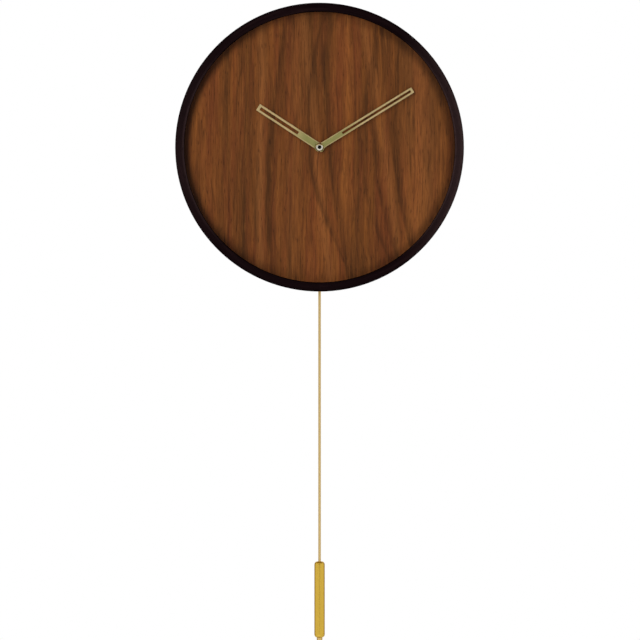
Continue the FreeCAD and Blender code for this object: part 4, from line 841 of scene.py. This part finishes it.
def ribbed_tree():
    """Sweeps a star with a point for each rib along the nut's axis, and makes it narrower at both ends."""
    tree, given, result = new_shape_tree("ribbed_nut", "Axis", [
        ("Ribs", "NodeSocketInt"),
        ("Radius", "NodeSocketFloat"),
        ("Rib height", "NodeSocketFloat"),
    ])
    axis = add_node(tree, "GeometryNodeMeshToCurve", {"Mesh": given["Axis"]}).outputs[0]
    stations = add_node(tree, "GeometryNodeResampleCurve", {"Curve": axis, "Count": NUT_STATIONS}).outputs[0]
    share = add_node(tree, "GeometryNodeSplineParameter").outputs["Factor"]
    from_end = calculate(tree, "MINIMUM", share, calculate(tree, "SUBTRACT", 1.0, share))
    easing = spread(tree, from_end, 0.0, EASED_END_SHARE, EASED_END_RADIUS, 1.0)
    eased = add_node(tree, "GeometryNodeSetCurveRadius", {"Curve": stations, "Radius": easing}).outputs[0]
    valley = calculate(tree, "SUBTRACT", given["Radius"], given["Rib height"])
    ribs = {"Points": given["Ribs"], "Inner Radius": valley, "Outer Radius": given["Radius"]}
    outline = add_node(tree, "GeometryNodeCurveStar", ribs).outputs["Curve"]
    swept = {"Curve": eased, "Profile Curve": outline, "Fill Caps": True}
    body = add_node(tree, "GeometryNodeCurveToMesh", swept).outputs[0]
    return closed_tree(tree, body, given, result)


nut_low, nut_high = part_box("rating_nut")
nut_radius = (nut_high[0] - nut_low[0]) / 2
nut_depth = (nut_low[1] + nut_high[1]) / 2
nut_axis = bpy.data.meshes.new("rating_nut_axis")
nut_axis.from_pydata([(0, nut_depth, nut_low[2]), (0, nut_depth, nut_high[2])], [(0, 1)], [])
ribbed_nut = shaped("rating_nut_ribbed", nut_axis, ribbed_tree(), {
    "Ribs": RIB_COUNT,
    "Radius": nut_radius,
    "Rib height": RIB_HEIGHT,
    "Finish": turned_brass,
})
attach(ribbed_nut, "pendulum")
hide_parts("rating_nut")


# A pale painted floor lies far below the clock, which hangs clear of it. In views from above it catches
# the clock's shadow.
FLOOR_HEIGHT = -1.3
FLOOR_HALF = 3.0
FLOOR_GLOW = 0.42
WHITE = (1, 1, 1, 1)


def level_square(half, height):
    return [(-half, -half, height), (half, -half, height), (half, half, height), (-half, half, height)]


def staged(name, corners, material):
    """A flat surface of the studio with four corners, which is no part of the clock."""
    mesh = bpy.data.meshes.new(name)
    mesh.from_pydata(corners, [], [(0, 1, 2, 3)])
    mesh.materials.append(material)
    made = bpy.data.objects.new(name, mesh)
    bpy.context.collection.objects.link(made)
    return made


def seen_or_mirrored(tree):
    """1 for the rays that come from the camera or from a mirror, and 0 for the others."""
    rays = add_node(tree, "ShaderNodeLightPath").outputs
    return calculate(tree, "MAXIMUM", rays["Is Camera Ray"], rays["Is Glossy Ray"])


floor_paint, floor_tree, floor_surface = new_material("floor_paint", roughness=0.9)
floor_surface.inputs["Base Color"].default_value = written(240, 240, 240)
floor_surface.inputs["Emission Color"].default_value = WHITE
floor_glow = spread(floor_tree, seen_or_mirrored(floor_tree), 0.0, 1.0, 0.0, FLOOR_GLOW)
floor_tree.links.new(floor_glow, floor_surface.inputs["Emission Strength"])
staged("floor", level_square(FLOOR_HALF, FLOOR_HEIGHT), floor_paint)


# The studio is a white room. Two broad lamps stand in front, one at each side, so that the rim throws
# a soft shadow on the dial's left and right edges. A third hangs above, and a fourth lights the back.
SKY_LIGHT = 0.34
SKY_SEEN = 1.0
DIAL_CENTRE = (0, 0, HUB_HEIGHT)

world = bpy.data.worlds.new("studio")
bpy.context.scene.world = world
world.use_nodes = True
sky = world.node_tree
sky_surface = sky.nodes["Background"]
sky_surface.inputs["Color"].default_value = WHITE
through_glass = add_node(sky, "ShaderNodeLightPath").outputs["Is Transmission Ray"]
sky_seen = calculate(sky, "MAXIMUM", seen_or_mirrored(sky), through_glass)
sky.links.new(spread(sky, sky_seen, 0.0, 1.0, SKY_LIGHT, SKY_SEEN), sky_surface.inputs["Strength"])


def lamp(name, place, width, height, watts):
    """A rectangular lamp that points from its place to the dial and is mirrored in nothing."""
    light = bpy.data.lights.new(name, "AREA")
    light.shape = "RECTANGLE"
    light.size = width
    light.size_y = height
    light.energy = watts
    made = bpy.data.objects.new(name, light)
    bpy.context.collection.objects.link(made)
    made.location = place
    made.rotation_mode = "QUATERNION"
    made.rotation_quaternion = (Vector(DIAL_CENTRE) - Vector(place)).to_track_quat("-Z", "Y")
    made.visible_glossy = False


lamp("left_lamp", (-1.0, -2.8, 0.2), width=0.4, height=1.2, watts=36)
lamp("right_lamp", (1.7, -2.4, 0.1), width=0.5, height=1.4, watts=10)
lamp("top_lamp", (-0.2, -2.2, 1.4), width=1.2, height=0.6, watts=8)
lamp("back_lamp", (0.6, 2.6, 0.3), width=1.0, height=1.0, watts=14)


# Four sheets of cloth stand or hang round the clock and only show where they are mirrored. A black one in
# front is the dark spot in the polished nut, a brown ceiling darkens what faces upwards, and a brown flag
# at each side draws the bob's edges.
CLOTH_DISTANCE = 3.0
CLOTH_HALF = 0.65
CLOTH_LOW = -0.6
CLOTH_HIGH = 0.6
CEILING_HEIGHT = 0.9
CEILING_HALF = 1.5
FLAG_ASIDE = 1.0
FLAG_NEAR = 0.3
FLAG_FAR = 2.0
FLAG_LOW = -1.2
FLAG_HIGH = 0.4


def cloth(name, color):
    made, tree, surface = new_material(name, roughness=1.0, shine=0.0)
    surface.inputs["Base Color"].default_value = color
    return made


def upright_sheet(first, last, lower, upper):
    """The corners of an upright sheet between two places on the ground and two heights."""
    return [(*first, lower), (*first, upper), (*last, upper), (*last, lower)]


def card(name, corners, material):
    made = staged(name, corners, material)
    made.visible_camera = False
    made.visible_diffuse = False
    made.visible_shadow = False


black_cloth = cloth("black_cloth", (0.004, 0.004, 0.004, 1))
brown_cloth = cloth("brown_cloth", (0.8, 0.62, 0.34, 1))
cloth_start = (-CLOTH_HALF, -CLOTH_DISTANCE)
cloth_end = (CLOTH_HALF, -CLOTH_DISTANCE)
card("camera_cloth", upright_sheet(cloth_start, cloth_end, CLOTH_LOW, CLOTH_HIGH), black_cloth)
card("ceiling", level_square(CEILING_HALF, CEILING_HEIGHT), brown_cloth)
for flag_name, side in (("left_flag", -1), ("right_flag", 1)):
    flag_start = (side * FLAG_ASIDE, FLAG_NEAR)
    flag_end = (side * FLAG_ASIDE, FLAG_FAR)
    card(flag_name, upright_sheet(flag_start, flag_end, FLAG_LOW, FLAG_HIGH), brown_cloth)


# The camera stands far off in front and looks at the middle of the clock from a degree and a half above.
# Its lens is as long as it takes to show the clock at the photograph's scale.
CAMERA_DISTANCE = 9.0
CAMERA_ELEVATION = math.radians(1.5)
CAMERA_FAR = 100
FRAME_PIXELS = 640
PIXELS_PER_METRE = 875.0
SENSOR = 36.0
AIM = (0.5 * MM, -55 * MM, -327.4 * MM)

backward = Vector((0, -math.cos(CAMERA_ELEVATION), math.sin(CAMERA_ELEVATION)))
camera_data = bpy.data.cameras.new("camera")
camera_data.sensor_width = SENSOR
camera_data.lens = SENSOR * PIXELS_PER_METRE * CAMERA_DISTANCE / FRAME_PIXELS
camera_data.clip_end = CAMERA_FAR
camera = bpy.data.objects.new("camera", camera_data)
bpy.context.collection.objects.link(camera)
camera.rotation_mode = "QUATERNION"
camera.rotation_quaternion = (-backward).to_track_quat("-Z", "Y")
camera.location = Vector(AIM) + backward * CAMERA_DISTANCE
bpy.context.scene.camera = camera
bpy.context.scene.view_settings.view_transform = "Standard"
